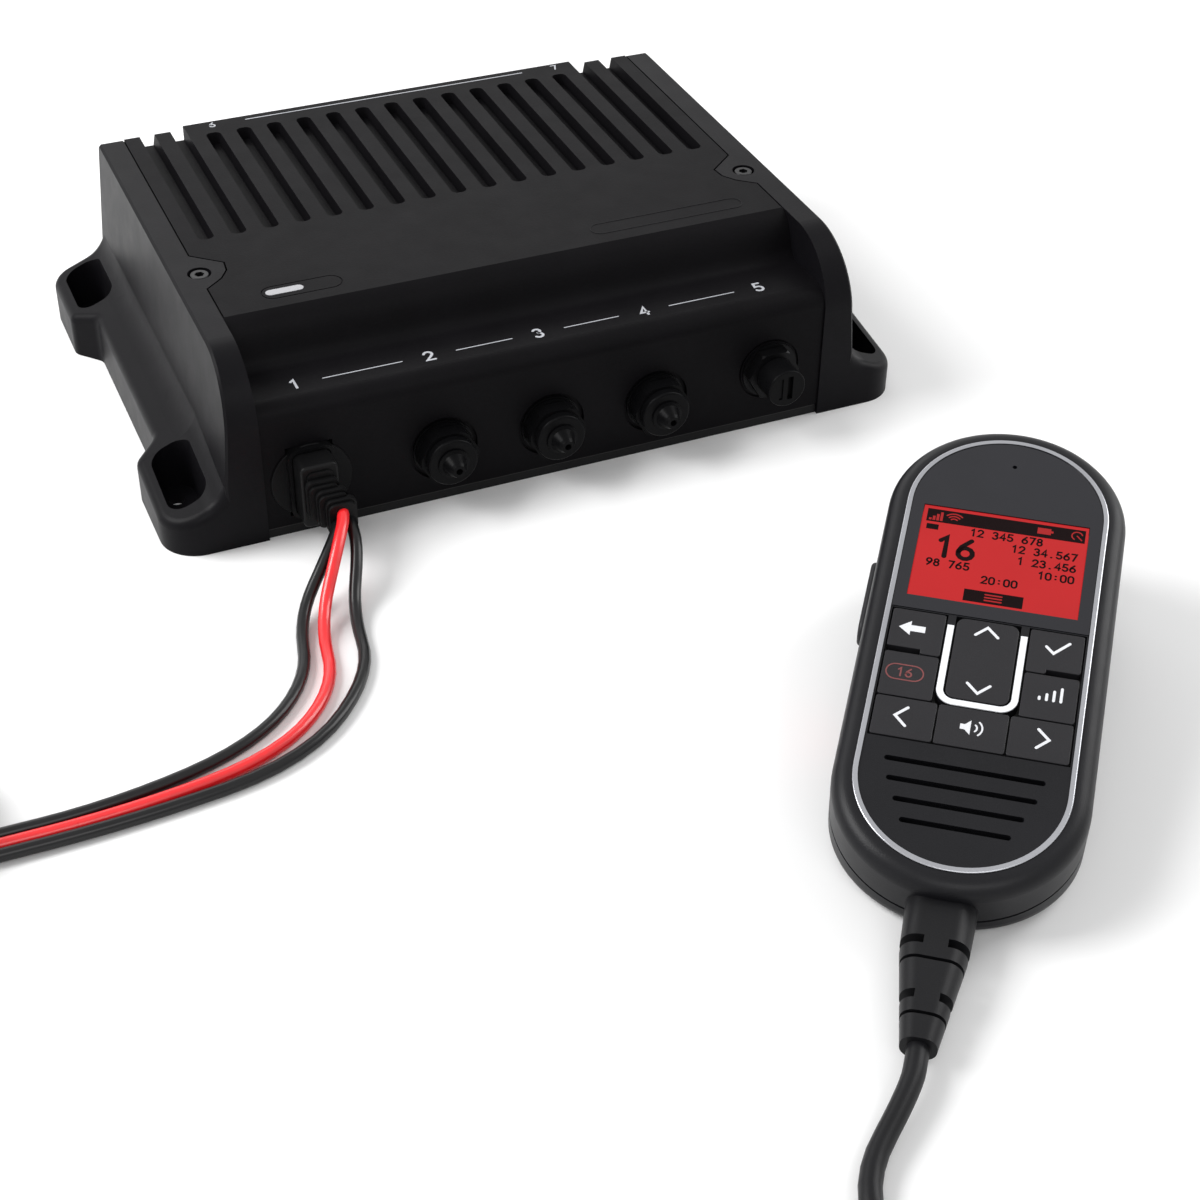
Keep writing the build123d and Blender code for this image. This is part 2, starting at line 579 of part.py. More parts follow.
def connector_board_y():
    return FASCIA + CONNECTOR_BOARD_GAP


def make_connector_board():
    y = connector_board_y()
    board = box(-96, 93, y, y + BOARD_THICKNESS, 7, 42)
    ribbon = box(-20, 20, y + BOARD_THICKNESS, y + BOARD_THICKNESS + 4, 33, 39)
    return board + ribbon


# ------------------------------------------------------------------ sockets and caps
def hexagon(x, z, y0, y1, flats):
    """A hexagonal prism along Y."""
    face = Plane.XZ * RegularPolygon(flats / 2, 6, major_radius=False)
    return Pos(x, y1, z) * extrude(face, y1 - y0)


def make_handset_socket(x):
    floor_y = FASCIA + PORT_RECESS_DEPTH
    body = barrel(x, PORT_Z, floor_y - 1.2, floor_y, SOCKET_FLANGE)
    body = body + barrel(x, PORT_Z, FASCIA - SOCKET_LENGTH, connector_board_y(), SOCKET_BARREL)
    body = body - barrel(x, PORT_Z, FASCIA - SOCKET_LENGTH - 1, FASCIA - 0.5, SOCKET_BORE)
    body = body + box(x - 0.8, x + 0.8, FASCIA - SOCKET_LENGTH + 1, FASCIA, PORT_Z + SOCKET_BORE - 1.2,
                      PORT_Z + SOCKET_BORE + 0.3)
    pins = [(0.0, 0.0)] + [(3.1 * math.cos(a), 3.1 * math.sin(a)) for a in
                           (math.radians(30 + 60 * k) for k in range(6))]
    for px, pz in pins:
        body = body + barrel(x + px, PORT_Z + pz, FASCIA - SOCKET_LENGTH + 2, FASCIA, 0.45)
    nut = hexagon(x, PORT_Z, FASCIA + WALL, FASCIA + WALL + 3, 19) - barrel(
        x, PORT_Z, FASCIA, FASCIA + WALL + 5, SOCKET_BARREL)
    return group(body, nut)


def make_handset_cap(x):
    rear_y = FASCIA - 0.3
    face_y = FASCIA - CAP_LENGTH
    cap = barrel(x, PORT_Z, face_y, rear_y, CAP_BODY)
    cap = fillet(cap.edges().group_by(Axis.Y)[0], 0.8)
    collar = hexagon(x, PORT_Z, face_y + 3.0, rear_y - 0.6, 2 * CAP_COLLAR * 0.93)
    collar = collar & barrel(x, PORT_Z, face_y, rear_y, CAP_COLLAR)
    cap = cap + collar + barrel(x, PORT_Z, rear_y - 1.4, rear_y, CAP_COLLAR)
    tip_face = Plane.XY * make_face(Polyline(
        (0, 0), (5.4, 0), (5.4, 0.7), (4.3, 1.0), (2.9, CAP_TIP - 1.2), (2.2, CAP_TIP), (0, CAP_TIP), close=True))
    tip = revolve(tip_face, Axis.Y)
    cap = cap + Pos(x, face_y, PORT_Z) * Rot(180, 0, 0) * tip
    cap = cap - barrel(x, PORT_Z, face_y - CAP_TIP - 1, face_y - CAP_TIP + 2.6, 1.15)
    inside_y = FASCIA - SOCKET_LENGTH - CAP_CLEARANCE
    cap = cap - barrel(x, PORT_Z, inside_y, FASCIA + 1, SOCKET_BARREL + CAP_CLEARANCE)
    return cap


def make_network_socket():
    body = barrel(NETWORK_X, NETWORK_Z, FASCIA - NETWORK_REACH, connector_board_y(), NETWORK_BARREL)
    body = body - barrel(NETWORK_X, NETWORK_Z, FASCIA - NETWORK_REACH - 1, FASCIA - 1, 4.5)
    for angle in range(0, 360, 90):
        a = math.radians(angle + 45)
        body = body + barrel(NETWORK_X + 2.4 * math.cos(a), NETWORK_Z + 2.4 * math.sin(a),
                             FASCIA - NETWORK_REACH + 3, FASCIA, 0.5)
    washer = barrel(NETWORK_X, NETWORK_Z, FASCIA - 0.9, FASCIA, 10.3)
    nut = hexagon(NETWORK_X, NETWORK_Z, FASCIA - 0.9 - NETWORK_NUT_HEIGHT, FASCIA - 0.9, NETWORK_NUT)
    nut = nut & Pos(NETWORK_X, FASCIA - 0.9, NETWORK_Z) * Rot(90, 0, 0) * Pos(0, 0, NETWORK_NUT_HEIGHT / 2) * Cone(
        12.0, 9.3, NETWORK_NUT_HEIGHT)
    ring = washer + nut
    ring = ring - barrel(NETWORK_X, NETWORK_Z, FASCIA - 9, FASCIA + 1, NETWORK_BARREL)
    back_nut = hexagon(NETWORK_X, NETWORK_Z, FASCIA + WALL, FASCIA + WALL + 3, 17)
    back_nut = back_nut - barrel(NETWORK_X, NETWORK_Z, FASCIA, FASCIA + WALL + 5, NETWORK_BARREL)
    return group(body, ring, back_nut)


def make_network_cap():
    rear_y = FASCIA - 0.9 - NETWORK_NUT_HEIGHT - 0.3
    face_y = FASCIA - NETWORK_CAP_REACH
    cap = barrel(NETWORK_X, NETWORK_Z, face_y, rear_y, NETWORK_CAP)
    cap = fillet(cap.edges().group_by(Axis.Y)[0], 0.5)
    cap = cap - barrel(NETWORK_X, NETWORK_Z, FASCIA - NETWORK_REACH - CAP_CLEARANCE, FASCIA,
                       NETWORK_BARREL + CAP_CLEARANCE)
    slot = box(NETWORK_X + 0.2, NETWORK_X + 2.2, face_y - 1, face_y + 1.7, NETWORK_Z - 4.4, NETWORK_Z + 4.6)
    second = box(NETWORK_X - 3.0, NETWORK_X - 1.6, face_y - 1, face_y + 0.5, NETWORK_Z - 4.0, NETWORK_Z + 4.2)
    return cap - slot - second


def make_power_socket():
    inner_w = PLUG_WIDTH + 2 * PLUG_GAP
    inner_h = PLUG_HEIGHT + 2 * PLUG_GAP
    outer_w = inner_w + 2 * PLUG_SHROUD
    outer_h = inner_h + 2 * PLUG_SHROUD
    disc = barrel(POWER_X, PORT_Z, FASCIA - POWER_DISC_THICKNESS, FASCIA, POWER_DISC)
    disc = fillet(disc.edges().group_by(Axis.Y)[0], 0.4)
    sleeve = Pos(POWER_X, connector_board_y(), PORT_Z) * extrude(
        Plane.XZ * RectangleRounded(outer_w - 0.1, outer_h - 0.1, 3.4), CONNECTOR_BOARD_GAP + 2.6)
    body = disc + sleeve
    hole = Pos(POWER_X, FASCIA + PLUG_FACE - 3.0, PORT_Z) * extrude(
        Plane.XZ * RectangleRounded(inner_w, inner_h, 2.4), 30)
    body = body - hole
    for dz in (-6.0, 0.0, 6.0):
        body = body + barrel(POWER_X, PORT_Z + dz, FASCIA + 2, FASCIA + PLUG_FACE, 1.0)
    return body


def make_power_plug():
    """The supply lead's plug, with a ribbed boot that the three wires leave from."""
    end_y = FASCIA - PLUG_FACE
    inner_y = FASCIA + 1.2
    plug = Pos(POWER_X, inner_y, PORT_Z) * extrude(
        Plane.XZ * RectangleRounded(PLUG_WIDTH, PLUG_HEIGHT, 2.2), inner_y - end_y)
    plug = fillet(plug.edges().group_by(Axis.Y)[0], 0.9)
    plug = plug + plug_slab(0.0, end_y + 0.5, 1.3, PLUG_WIDTH - 4, PLUG_HEIGHT - 4)
    for index in range(PLUG_RIBS):
        share = index / (PLUG_RIBS - 1)
        start = end_y - 0.8 - index * PLUG_RIB_PITCH
        plug = plug + plug_slab(share, start, 2.2, 10.8 - 0.6 * share, 15.0 - 2.6 * share)
        plug = plug + plug_slab(share, start - 2.0, PLUG_RIB_PITCH - 1.5, 9.8 - 0.6 * share, 12.8 - 2.2 * share)
    for dz in (-6.0, 0.0, 6.0):
        plug = plug - barrel(POWER_X, PORT_Z + dz, FASCIA, FASCIA + 5, 1.3)
    return plug


def plug_slab(share, start, length, width, height):
    """One slice of the plug's boot, from start towards -Y; share is how far along the boot it is."""
    x = POWER_X + share * PLUG_BEND_X
    z = PORT_Z + share * PLUG_BEND_Z
    return Pos(x, start, z) * extrude(Plane.XZ * RectangleRounded(width, height, 2.2), length)


# ------------------------------------------------------------------ rear connectors
def make_antenna_socket():
    face = REAR + LIP_DEPTH
    body = box(ANTENNA_X - ANTENNA_FLANGE / 2, ANTENNA_X + ANTENNA_FLANGE / 2, face, face + 1.8,
               REAR_PORT_Z - ANTENNA_FLANGE / 2, REAR_PORT_Z + ANTENNA_FLANGE / 2)
    body = fillet(body.edges().filter_by(Axis.Y), 2.5)
    body = body + barrel(ANTENNA_X, REAR_PORT_Z, face - LIP_DEPTH - WALL - 3, face + ANTENNA_REACH, ANTENNA_RADIUS)
    body = body - barrel(ANTENNA_X, REAR_PORT_Z, face + 1, face + ANTENNA_REACH + 1, ANTENNA_BORE)
    insert = barrel(ANTENNA_X, REAR_PORT_Z, face + 1, face + ANTENNA_REACH - 5, ANTENNA_BORE)
    insert = insert - barrel(ANTENNA_X, REAR_PORT_Z, face + 2, face + ANTENNA_REACH + 1, 2.0)
    for dx in mirrored(ANTENNA_SCREW_PITCH / 2):
        for dz in mirrored(ANTENNA_SCREW_PITCH / 2):
            body = body - barrel(ANTENNA_X + dx, REAR_PORT_Z + dz, face - 1, face + 3, 1.5 + FIT)
    screws = make_antenna_screws(face + 1.8)
    return group(body, insert, *screws)


def make_antenna_screws(face):
    """The four screws in the aerial socket's flange."""
    screws = []
    for dx in mirrored(ANTENNA_SCREW_PITCH / 2):
        for dz in mirrored(ANTENNA_SCREW_PITCH / 2):
            x = ANTENNA_X + dx
            z = REAR_PORT_Z + dz
            screw = barrel(x, z, face, face + 1.6, 2.7) + barrel(x, z, face - 7, face, 1.5)
            screw = screw - box(x - 1.7, x + 1.7, face + 0.9, face + 2, z - 0.35, z + 0.35)
            screws.append(screw)
    return screws


def make_gps_socket():
    face = REAR + LIP_DEPTH
    body = barrel(GPS_X, REAR_PORT_Z, face - LIP_DEPTH - WALL - 3, face + GPS_REACH, GPS_RADIUS)
    body = body + hexagon(GPS_X, REAR_PORT_Z, face, face + 2.2, 14)
    body = body - barrel(GPS_X, REAR_PORT_Z, face + 3, face + GPS_REACH + 1, GPS_BORE)
    body = body + barrel(GPS_X, REAR_PORT_Z, face + 2, face + GPS_REACH - 2, 0.7)
    return body


# ------------------------------------------------------------------ handset, in its own frame
def stadium(length, width, z0, z1):
    """A stadium-shaped slab standing between two heights, long way along y."""
    face = Pos(0, 0, z0) * Rot(0, 0, 90) * SlotOverall(length, width)
    return extrude(face, z1 - z0)


def slab(x0, x1, y0, y1, z0, z1, radius):
    """A slab with rounded upright corners."""
    face = Pos((x0 + x1) / 2, (y0 + y1) / 2, z0) * RectangleRounded(x1 - x0, y1 - y0, radius)
    return extrude(face, z1 - z0)


def strip_slab(width, z0, z1, top=STRIP_TOP):
    """The strip's footprint, a given width, raised between two heights."""
    outer = slab(-COLUMN_X - width / 2, COLUMN_X + width / 2, STRIP_BOTTOM - width / 2, top, z0, z1,
                 STRIP_RADIUS + width / 2)
    inner = slab(-COLUMN_X + width / 2, COLUMN_X - width / 2, STRIP_BOTTOM + width / 2, top + 20, z0 - 1, z1 + 1,
                 STRIP_RADIUS - width / 2)
    square = box(-COLUMN_X - width / 2, COLUMN_X + width / 2, STRIP_BOTTOM + 8, top, z0, z1)
    return (outer + square) - inner


def make_front_shell():
    shell = stadium(SHELL_LENGTH, SHELL_WIDTH, SEAM_Z, 0)
    shell = fillet(shell.edges().group_by(Axis.Z)[-1], SHELL_EDGE)
    inner = stadium(SHELL_LENGTH - 2 * SHELL_WALL - 3, SHELL_WIDTH - 2 * SHELL_WALL - 3, SEAM_Z - 1, -FACE_THICKNESS)
    shell = shell - inner
    ring_seat = stadium(RING_LENGTH + 0.1, RING_WIDTH + 0.1, -RING_SEAT, 1)
    ring_core = stadium(RING_LENGTH - 2 * RING_BAND, RING_WIDTH - 2 * RING_BAND, -RING_SEAT - 1, 2)
    shell = shell - (ring_seat - ring_core)
    window = window_shape(0.0, WINDOW_THICKNESS, 2.0)
    shell = shell - window
    shell = shell - screen_opening(0.3, -FACE_THICKNESS - 1, 1)
    opening = box(-KEYPAD_HALF, KEYPAD_HALF, KEYPAD_BOTTOM, KEYPAD_TOP, -FACE_THICKNESS - 1, 1)
    web = strip_slab(WEB_WIDTH, -FACE_THICKNESS, 0, KEYPAD_TOP)
    shell = shell - (opening - web)
    shell = shell - strip_slab(STRIP_WIDTH, -0.9, 1)
    for index, length in enumerate(GRILLE_LENGTHS):
        slot = Pos(0, GRILLE_Y - index * GRILLE_PITCH, -FACE_THICKNESS - 1) * SlotOverall(length, GRILLE_SLOT)
        shell = shell - extrude(slot, FACE_THICKNESS + 2)
    shell = shell - column(0, MIC_Y, -FACE_THICKNESS - 1, 1, 0.8)
    for x, y in handset_screw_places():
        shell = shell + column(x, y, SEAM_Z, -FACE_THICKNESS + 0.5, 3.6)
        shell = shell - column(x, y, SEAM_Z - 1, -FACE_THICKNESS - 1.5, 1.5 + FIT)
    for x, y in handset_board_places():
        shell = shell + column(x, y, HANDSET_BOARD_Z, -FACE_THICKNESS + 0.5, 2.2)
    for side in (-1, 1):
        rib = box(side * 29.0, side * 32.0, -6, 0, HANDSET_BOARD_Z, -FACE_THICKNESS + 0.5)
        shell = shell + rib
    return shell


def window_shape(gap, depth, above):
    """The upper panel's outline inside the trim ring, down to the keypad's top edge."""
    length = RING_LENGTH - 2 * RING_BAND - 2 * gap
    width = RING_WIDTH - 2 * RING_BAND - 2 * gap
    shape = stadium(length, width, -depth, above)
    return shape - box(-50, 50, -100, KEYPAD_TOP + gap + 0.4, -10, 10)


def screen_opening(gap, z0, z1):
    """The screen's window, larger by a gap."""
    return box(-SCREEN_WIDTH / 2 - gap, SCREEN_WIDTH / 2 + gap, SCREEN_Y - SCREEN_HEIGHT / 2 - gap,
               SCREEN_Y + SCREEN_HEIGHT / 2 + gap, z0, z1)


def make_window():
    panel = window_shape(0.1, WINDOW_THICKNESS, WINDOW_PROUD)
    panel = panel - screen_opening(0.15, -5, 5)
    return panel - column(0, MIC_Y, -5, 5, 0.7)


def make_display():
    glass = screen_opening(0, -FACE_THICKNESS, -0.1)
    frame = box(-28, 28, SCREEN_Y - 21.5, SCREEN_Y + 21.5, -FACE_THICKNESS - 4, -FACE_THICKNESS)
    return glass + frame


def make_trim_ring():
    outer = stadium(RING_LENGTH, RING_WIDTH, -RING_SEAT, RING_PROUD)
    outer = fillet(outer.edges().group_by(Axis.Z)[-1], 0.4)
    return outer - stadium(RING_LENGTH - 2 * RING_BAND + 0.1, RING_WIDTH - 2 * RING_BAND + 0.1, -5, 5)


def make_strip():
    return strip_slab(STRIP_WIDTH, -0.9, STRIP_PROUD)


def key_slab(x0, x1, y0, y1, radius=0.8):
    key = slab(x0, x1, y0, y1, -KEY_THICKNESS, KEY_PROUD, radius)
    return fillet(key.edges().group_by(Axis.Z)[-1], 0.25)


def side_key(side, upper):
    """One of the four keys beside the rocker; the upper one reaches round the slot."""
    outer = KEYPAD_HALF - KEY_GAP
    inner = COLUMN_X + WEB_WIDTH / 2 + KEY_GAP
    bottom = STRIP_BOTTOM - WEB_WIDTH / 2 + KEY_GAP / 2
    if upper:
        y0 = SLOT_Y + SLOT_HEIGHT / 2
        y1 = KEYPAD_TOP - KEY_GAP
    else:
        y0 = bottom
        y1 = SLOT_Y - SLOT_HEIGHT / 2
    x0, x1 = sorted((side * inner, side * outer))
    key = slab(x0, x1, y0, y1, -KEY_THICKNESS, KEY_PROUD, 0.8)
    if upper:
        reach = outer - SLOT_LENGTH
        a, b = sorted((side * inner, side * reach))
        key = key + slab(a, b, SLOT_Y - SLOT_HEIGHT / 2 + KEY_GAP, y0 + 3, -KEY_THICKNESS, KEY_PROUD, 0.8)
    return fillet(key.edges().group_by(Axis.Z)[-1], 0.25)


def row_key(x0, x1):
    """A key of the bottom row."""
    y1 = STRIP_BOTTOM - WEB_WIDTH / 2 - KEY_GAP / 2
    return key_slab(x0, x1, KEYPAD_BOTTOM + KEY_GAP, y1)


def make_rocker():
    half = COLUMN_X - WEB_WIDTH / 2 - KEY_GAP
    low = STRIP_BOTTOM + WEB_WIDTH / 2 + KEY_GAP
    key = slab(-half, half, low, KEYPAD_TOP - KEY_GAP, -KEY_THICKNESS, KEY_PROUD, 2.6)
    return fillet(key.edges().group_by(Axis.Z)[-1], 0.25)


def key_pads():
    """Centres of the rubber domes under the keys."""
    side_x = (COLUMN_X + KEYPAD_HALF) / 2
    upper_y = (SLOT_Y + KEYPAD_TOP) / 2
    lower_y = (SLOT_Y + STRIP_BOTTOM) / 2
    row_y = (STRIP_BOTTOM + KEYPAD_BOTTOM) / 2
    return [(-side_x, upper_y), (side_x, upper_y), (-side_x, lower_y), (side_x, lower_y),
            (-19.0, row_y), (0.0, row_y), (19.0, row_y), (0.0, 1.0), (0.0, -17.0)]


def make_keypad_mat():
    mat = box(-KEYPAD_HALF - 1, KEYPAD_HALF + 1, KEYPAD_BOTTOM - 1, KEYPAD_TOP + 0.6, -FACE_THICKNESS - 1,
              -FACE_THICKNESS)
    for x, y in key_pads():
        mat = mat + column(x, y, -FACE_THICKNESS, -KEY_THICKNESS - KEY_FLOOR_GAP, 2.6)
    return mat


def handset_screw_places():
    return [(sx * 22.5, y) for sx in (-1, 1) for y in (-52.0, 60.0)]


def handset_board_places():
    return [(side * 12.0, 57.0) for side in (-1, 1)]


def make_handset_board():
    low = HANDSET_BOARD_Z - BOARD_THICKNESS
    board = box(-29.9, 29.9, -30, 59.5, low, HANDSET_BOARD_Z)
    for x, y in handset_screw_places():
        board = board - column(x, y, low - 1, low + 3, 4.0)
    link = box(-10, 10, -20, -14, HANDSET_BOARD_Z, -FACE_THICKNESS - 1.0)
    return board + link


def make_speaker():
    y = GRILLE_Y - 1.5 * GRILLE_PITCH
    rim = column(0, y, -FACE_THICKNESS - 1.4, -FACE_THICKNESS, 15.2)
    cone = Pos(0, y, -FACE_THICKNESS - 3.4) * Cone(9.5, 14.4, 4.0)
    magnet = column(0, y, -FACE_THICKNESS - 9.4, -FACE_THICKNESS - 5.4, 9.5)
    return rim + cone + magnet


def make_microphone():
    return column(0, MIC_Y, -FACE_THICKNESS - 4, -FACE_THICKNESS, 3.0)


def back_blank(inset):
    """The back shell's block: a stadium whose back slopes up towards the tail."""
    half = SHELL_LENGTH / 2
    slope = (HEAD_DEPTH - TAIL_DEPTH) / (HEAD_START_Y + half)
    outline = make_face(Polyline(
        (half + 20, 20), (half + 20, inset - HEAD_DEPTH), (HEAD_START_Y, inset - HEAD_DEPTH),
        (-half - 20, inset - TAIL_DEPTH + 20 * slope), (-half - 20, 20), close=True))
    bend = [v for v in outline.vertices() if abs(v.X - HEAD_START_Y) < 0.01]
    outline = fillet(bend, BACK_BEND_RADIUS)
    side = Pos(-100, 0, 0) * extrude(Plane.YZ * outline, 200)
    top = SEAM_Z - SEAL_THICKNESS
    return stadium(SHELL_LENGTH - 2 * inset, SHELL_WIDTH - 2 * inset, -HEAD_DEPTH - 5, top) & side


def make_back_shell():
    shell = back_blank(0)
    top = SEAM_Z - SEAL_THICKNESS
    shell = fillet([e for e in shell.edges() if e.center().Z < top - 1 and not is_upright(e)], BACK_EDGE)
    cavity = back_blank(SHELL_WALL)
    cavity = fillet([e for e in cavity.edges() if e.center().Z < top - 1 and not is_upright(e)],
                    BACK_EDGE - SHELL_WALL + 1)
    shell = shell - cavity
    for x, y in handset_screw_places():
        post = column(x, y, -HEAD_DEPTH - 5, top, 4.2) & back_blank(1.0)
        shell = shell + post
        shell = shell - column(x, y, -HEAD_DEPTH - 5, top - 3.4, 3.1)
        shell = shell - column(x, y, -HEAD_DEPTH - 5, top + 5, 1.5 + FIT)
    side = -SHELL_WIDTH / 2
    shell = shell + ptt_floor(side)
    shell = shell - side_pocket(side, PTT_Y, PTT_LENGTH, PTT_Z, PTT_HEIGHT, KEY_GAP, 4.0)
    shell = shell + (side_round(side + 2.0, side + 5.8, FLAP_Y, FLAP_Z, 5.0) & back_blank(0.5))
    shell = shell - side_pocket(side, FLAP_Y, FLAP_LENGTH, FLAP_Z, FLAP_HEIGHT, KEY_GAP, 1.0)
    relief_z = FLAP_Z - FLAP_HEIGHT / 2
    shell = shell - box(side - 1, side + 1, FLAP_Y - 8, FLAP_Y + 8, relief_z - 1.9, relief_z)
    shell = shell - side_round(side - 1, side + 4.4, FLAP_Y, FLAP_Z, 3.4)
    boss = column(0, STUD_Y, -HEAD_DEPTH + 1, -HEAD_DEPTH + 12, 5.0)
    return (shell + boss) - column(0, STUD_Y, -HEAD_DEPTH - 1, -HEAD_DEPTH + 20, 1.75 + FIT)


def is_upright(edge):
    """Whether an edge runs along z."""
    size = edge.bounding_box().size
    return size.X < 0.01 and size.Y < 0.01


def side_round(x0, x1, y, z, radius):
    """A cylinder along x."""
    return Pos((x0 + x1) / 2, y, z) * Rot(0, 90, 0) * Cylinder(radius, abs(x1 - x0))


def side_slab(x0, x1, y, length, z, height):
    """A rounded slab lying against the handset's side."""
    face = Plane.YZ * RectangleRounded(length, height, min(length, height) / 2 - 0.6)
    return Pos(x0, y, z) * extrude(face, x1 - x0)


def side_pocket(side, y, length, z, height, gap, depth):
    return side_slab(side - 6, side + depth, y, length + 2 * gap, z, height + 2 * gap)


def ptt_floor(side):
    """The walls round and behind the talk key's pocket, before the pocket is cut."""
    return side_slab(side + 2.0, side + 5.6, PTT_Y, PTT_LENGTH + 5, PTT_Z, PTT_HEIGHT + 4) & back_blank(0.5)


def make_ptt():
    side = -SHELL_WIDTH / 2
    key = side_slab(side - PTT_PROUD, side + 4.0 - PTT_TRAVEL - 0.3, PTT_Y, PTT_LENGTH, PTT_Z, PTT_HEIGHT)
    return fillet(key.edges().group_by(Axis.X)[0], 1.2)


def make_flap():
    side = -SHELL_WIDTH / 2
    flap = side_slab(side - FLAP_THICKNESS + 0.9, side + 0.9, FLAP_Y, FLAP_LENGTH, FLAP_Z, FLAP_HEIGHT)
    flap = fillet(flap.edges().group_by(Axis.X)[0], 0.6)
    return flap


def make_distress_key():
    side = -SHELL_WIDTH / 2
    return side_round(side + 1.3, side + 3.5, FLAP_Y, FLAP_Z, 3.0)


def make_handset_seal():
    outer = stadium(SHELL_LENGTH - 1.2, SHELL_WIDTH - 1.2, SEAM_Z - SEAL_THICKNESS, SEAM_Z)
    return outer - stadium(SHELL_LENGTH - 2 * SHELL_WALL - 2.6, SHELL_WIDTH - 2 * SHELL_WALL - 2.6, -30, 5)


def make_handset_screws():
    top = SEAM_Z - SEAL_THICKNESS
    screws = []
    for x, y in handset_screw_places():
        head = column(x, y, top - 5.4, top - 3.4, 2.7)
        shank = column(x, y, top - 3.4, -FACE_THICKNESS - 2.5, 1.5)
        screws.append(head + shank - (Pos(x, y, top - 6) * extrude(RegularPolygon(1.2, 6), 1.6)))
    return group(*screws)


def make_boot():
    """The cord's strain relief: a flattened, tapering boot with two pairs of side notches."""
    sections = []
    for t in (0.0, 0.36, 1.0):
        width = BOOT_WIDTH + (BOOT_END - BOOT_WIDTH) * (0.35 * t if t < 0.5 else t)
        depth = BOOT_THICKNESS + (BOOT_END - 1.0 - BOOT_THICKNESS) * t
        plane = Plane(origin=(0, -t * BOOT_LENGTH, 0), x_dir=(1, 0, 0), z_dir=(0, -1, 0))
        sections.append(plane * RectangleRounded(width, depth, depth / 2 - 0.6))
    body = loft(sections, ruled=True)
    for t in (0.36, 0.72):
        y = -t * BOOT_LENGTH
        for side in (-1, 1):
            body = body - box(side * 3.2, side * 20, y - 1.3, y + 1.3, -20, 20)
        body = body - (box(-20, 20, y - 6.2, y - 5.2, -20, 20)
                       - Pos(0, y - 5.7, 0) * Rot(90, 0, 0) * Cylinder(3.6, 4))
    return body


def boot_frame():
    """Where the boot leaves the handset's tail, bent up a little from the handset's axis."""
    return Pos(0, -SHELL_LENGTH / 2 + BOOT_SEAT, BOOT_Z) * Rot(-BOOT_BEND, 0, 0)


def stud_length():
    """The hang-up stud is as tall as the head end stands clear of the surface."""
    t = math.radians(TILT)
    height = handset_height() + STUD_Y * math.sin(t) - HEAD_DEPTH * math.cos(t)
    rim = (STUD_HEAD - STUD_ROUND) * math.sin(t)
    return (height - rim - STUD_ROUND) / math.cos(t) + STUD_ROUND


def make_stud():
    length = stud_length()
    z0 = -HEAD_DEPTH - length
    head = column(0, STUD_Y, z0, z0 + STUD_HEAD_THICKNESS, STUD_HEAD)
    head = fillet(head.edges().group_by(Axis.Z)[0], STUD_ROUND)
    neck = column(0, STUD_Y, z0 + STUD_HEAD_THICKNESS, -HEAD_DEPTH, STUD_NECK)
    washer = column(0, STUD_Y, -HEAD_DEPTH - 1.6, -HEAD_DEPTH, STUD_HEAD - 1)
    screw = column(0, STUD_Y, -HEAD_DEPTH, -HEAD_DEPTH + 10, 1.75)
    return head + neck + washer + screw


def handset_height():
    """Height of the face's centre, from the lowest point of the tilted back shell."""
    tilted = Rot(TILT, 0, 0) * back_shell
    return -tilted.bounding_box().min.Z


back_shell = make_back_shell()
HANDSET = Pos(HANDSET_X, HANDSET_Y, handset_height()) * Rot(0, 0, -HEADING) * Rot(TILT, 0, 0)


def handset_point(x, y, z):
    """A point of the handset's frame, in the model's frame."""
    return (HANDSET * Pos(x, y, z)).position


# ------------------------------------------------------------------ supply leads
def smooth_path(name, points):
    """Straight runs joined by arcs, each as wide as its runs allow; prints the arcs' radii."""
    runs = [math.dist(a, b) for a, b in zip(points, points[1:])]
    radii = []
    for index in range(1, len(points) - 1):
        before = [b - a for a, b in zip(points[index - 1], points[index])]
        after = [b - a for a, b in zip(points[index], points[index + 1])]
        cosine = sum(a * b for a, b in zip(before, after)) / (runs[index - 1] * runs[index])
        half_turn = math.acos(cosine) / 2
        radii.append(0.45 * min(runs[index - 1], runs[index]) / math.tan(half_turn))
    path = FilletPolyline(*points, radius=radii)
    print(name, "length", round(path.length, 1), "radii", [round(r, 1) for r in radii])
    return path


def make_cord(name, points, diameter):
    """A round cord along a path of arcs and straight runs."""
    path = smooth_path(name, points)
    start = Plane(origin=path @ 0, z_dir=path % 0)
    cord = sweep(start * Circle(diameter / 2), path=path)
    section = math.pi * diameter ** 2 / 4
    print(name, "volume over section times length", round(cord.volume / (section * path.length), 4))
    return cord


def lead_radius(place):
    """Radius of a lead's turns in the coil; place 0 is the inner lead."""
    return LEAD_COIL_RADIUS + (place - 1) * (LEAD_DIAMETER + 0.1)


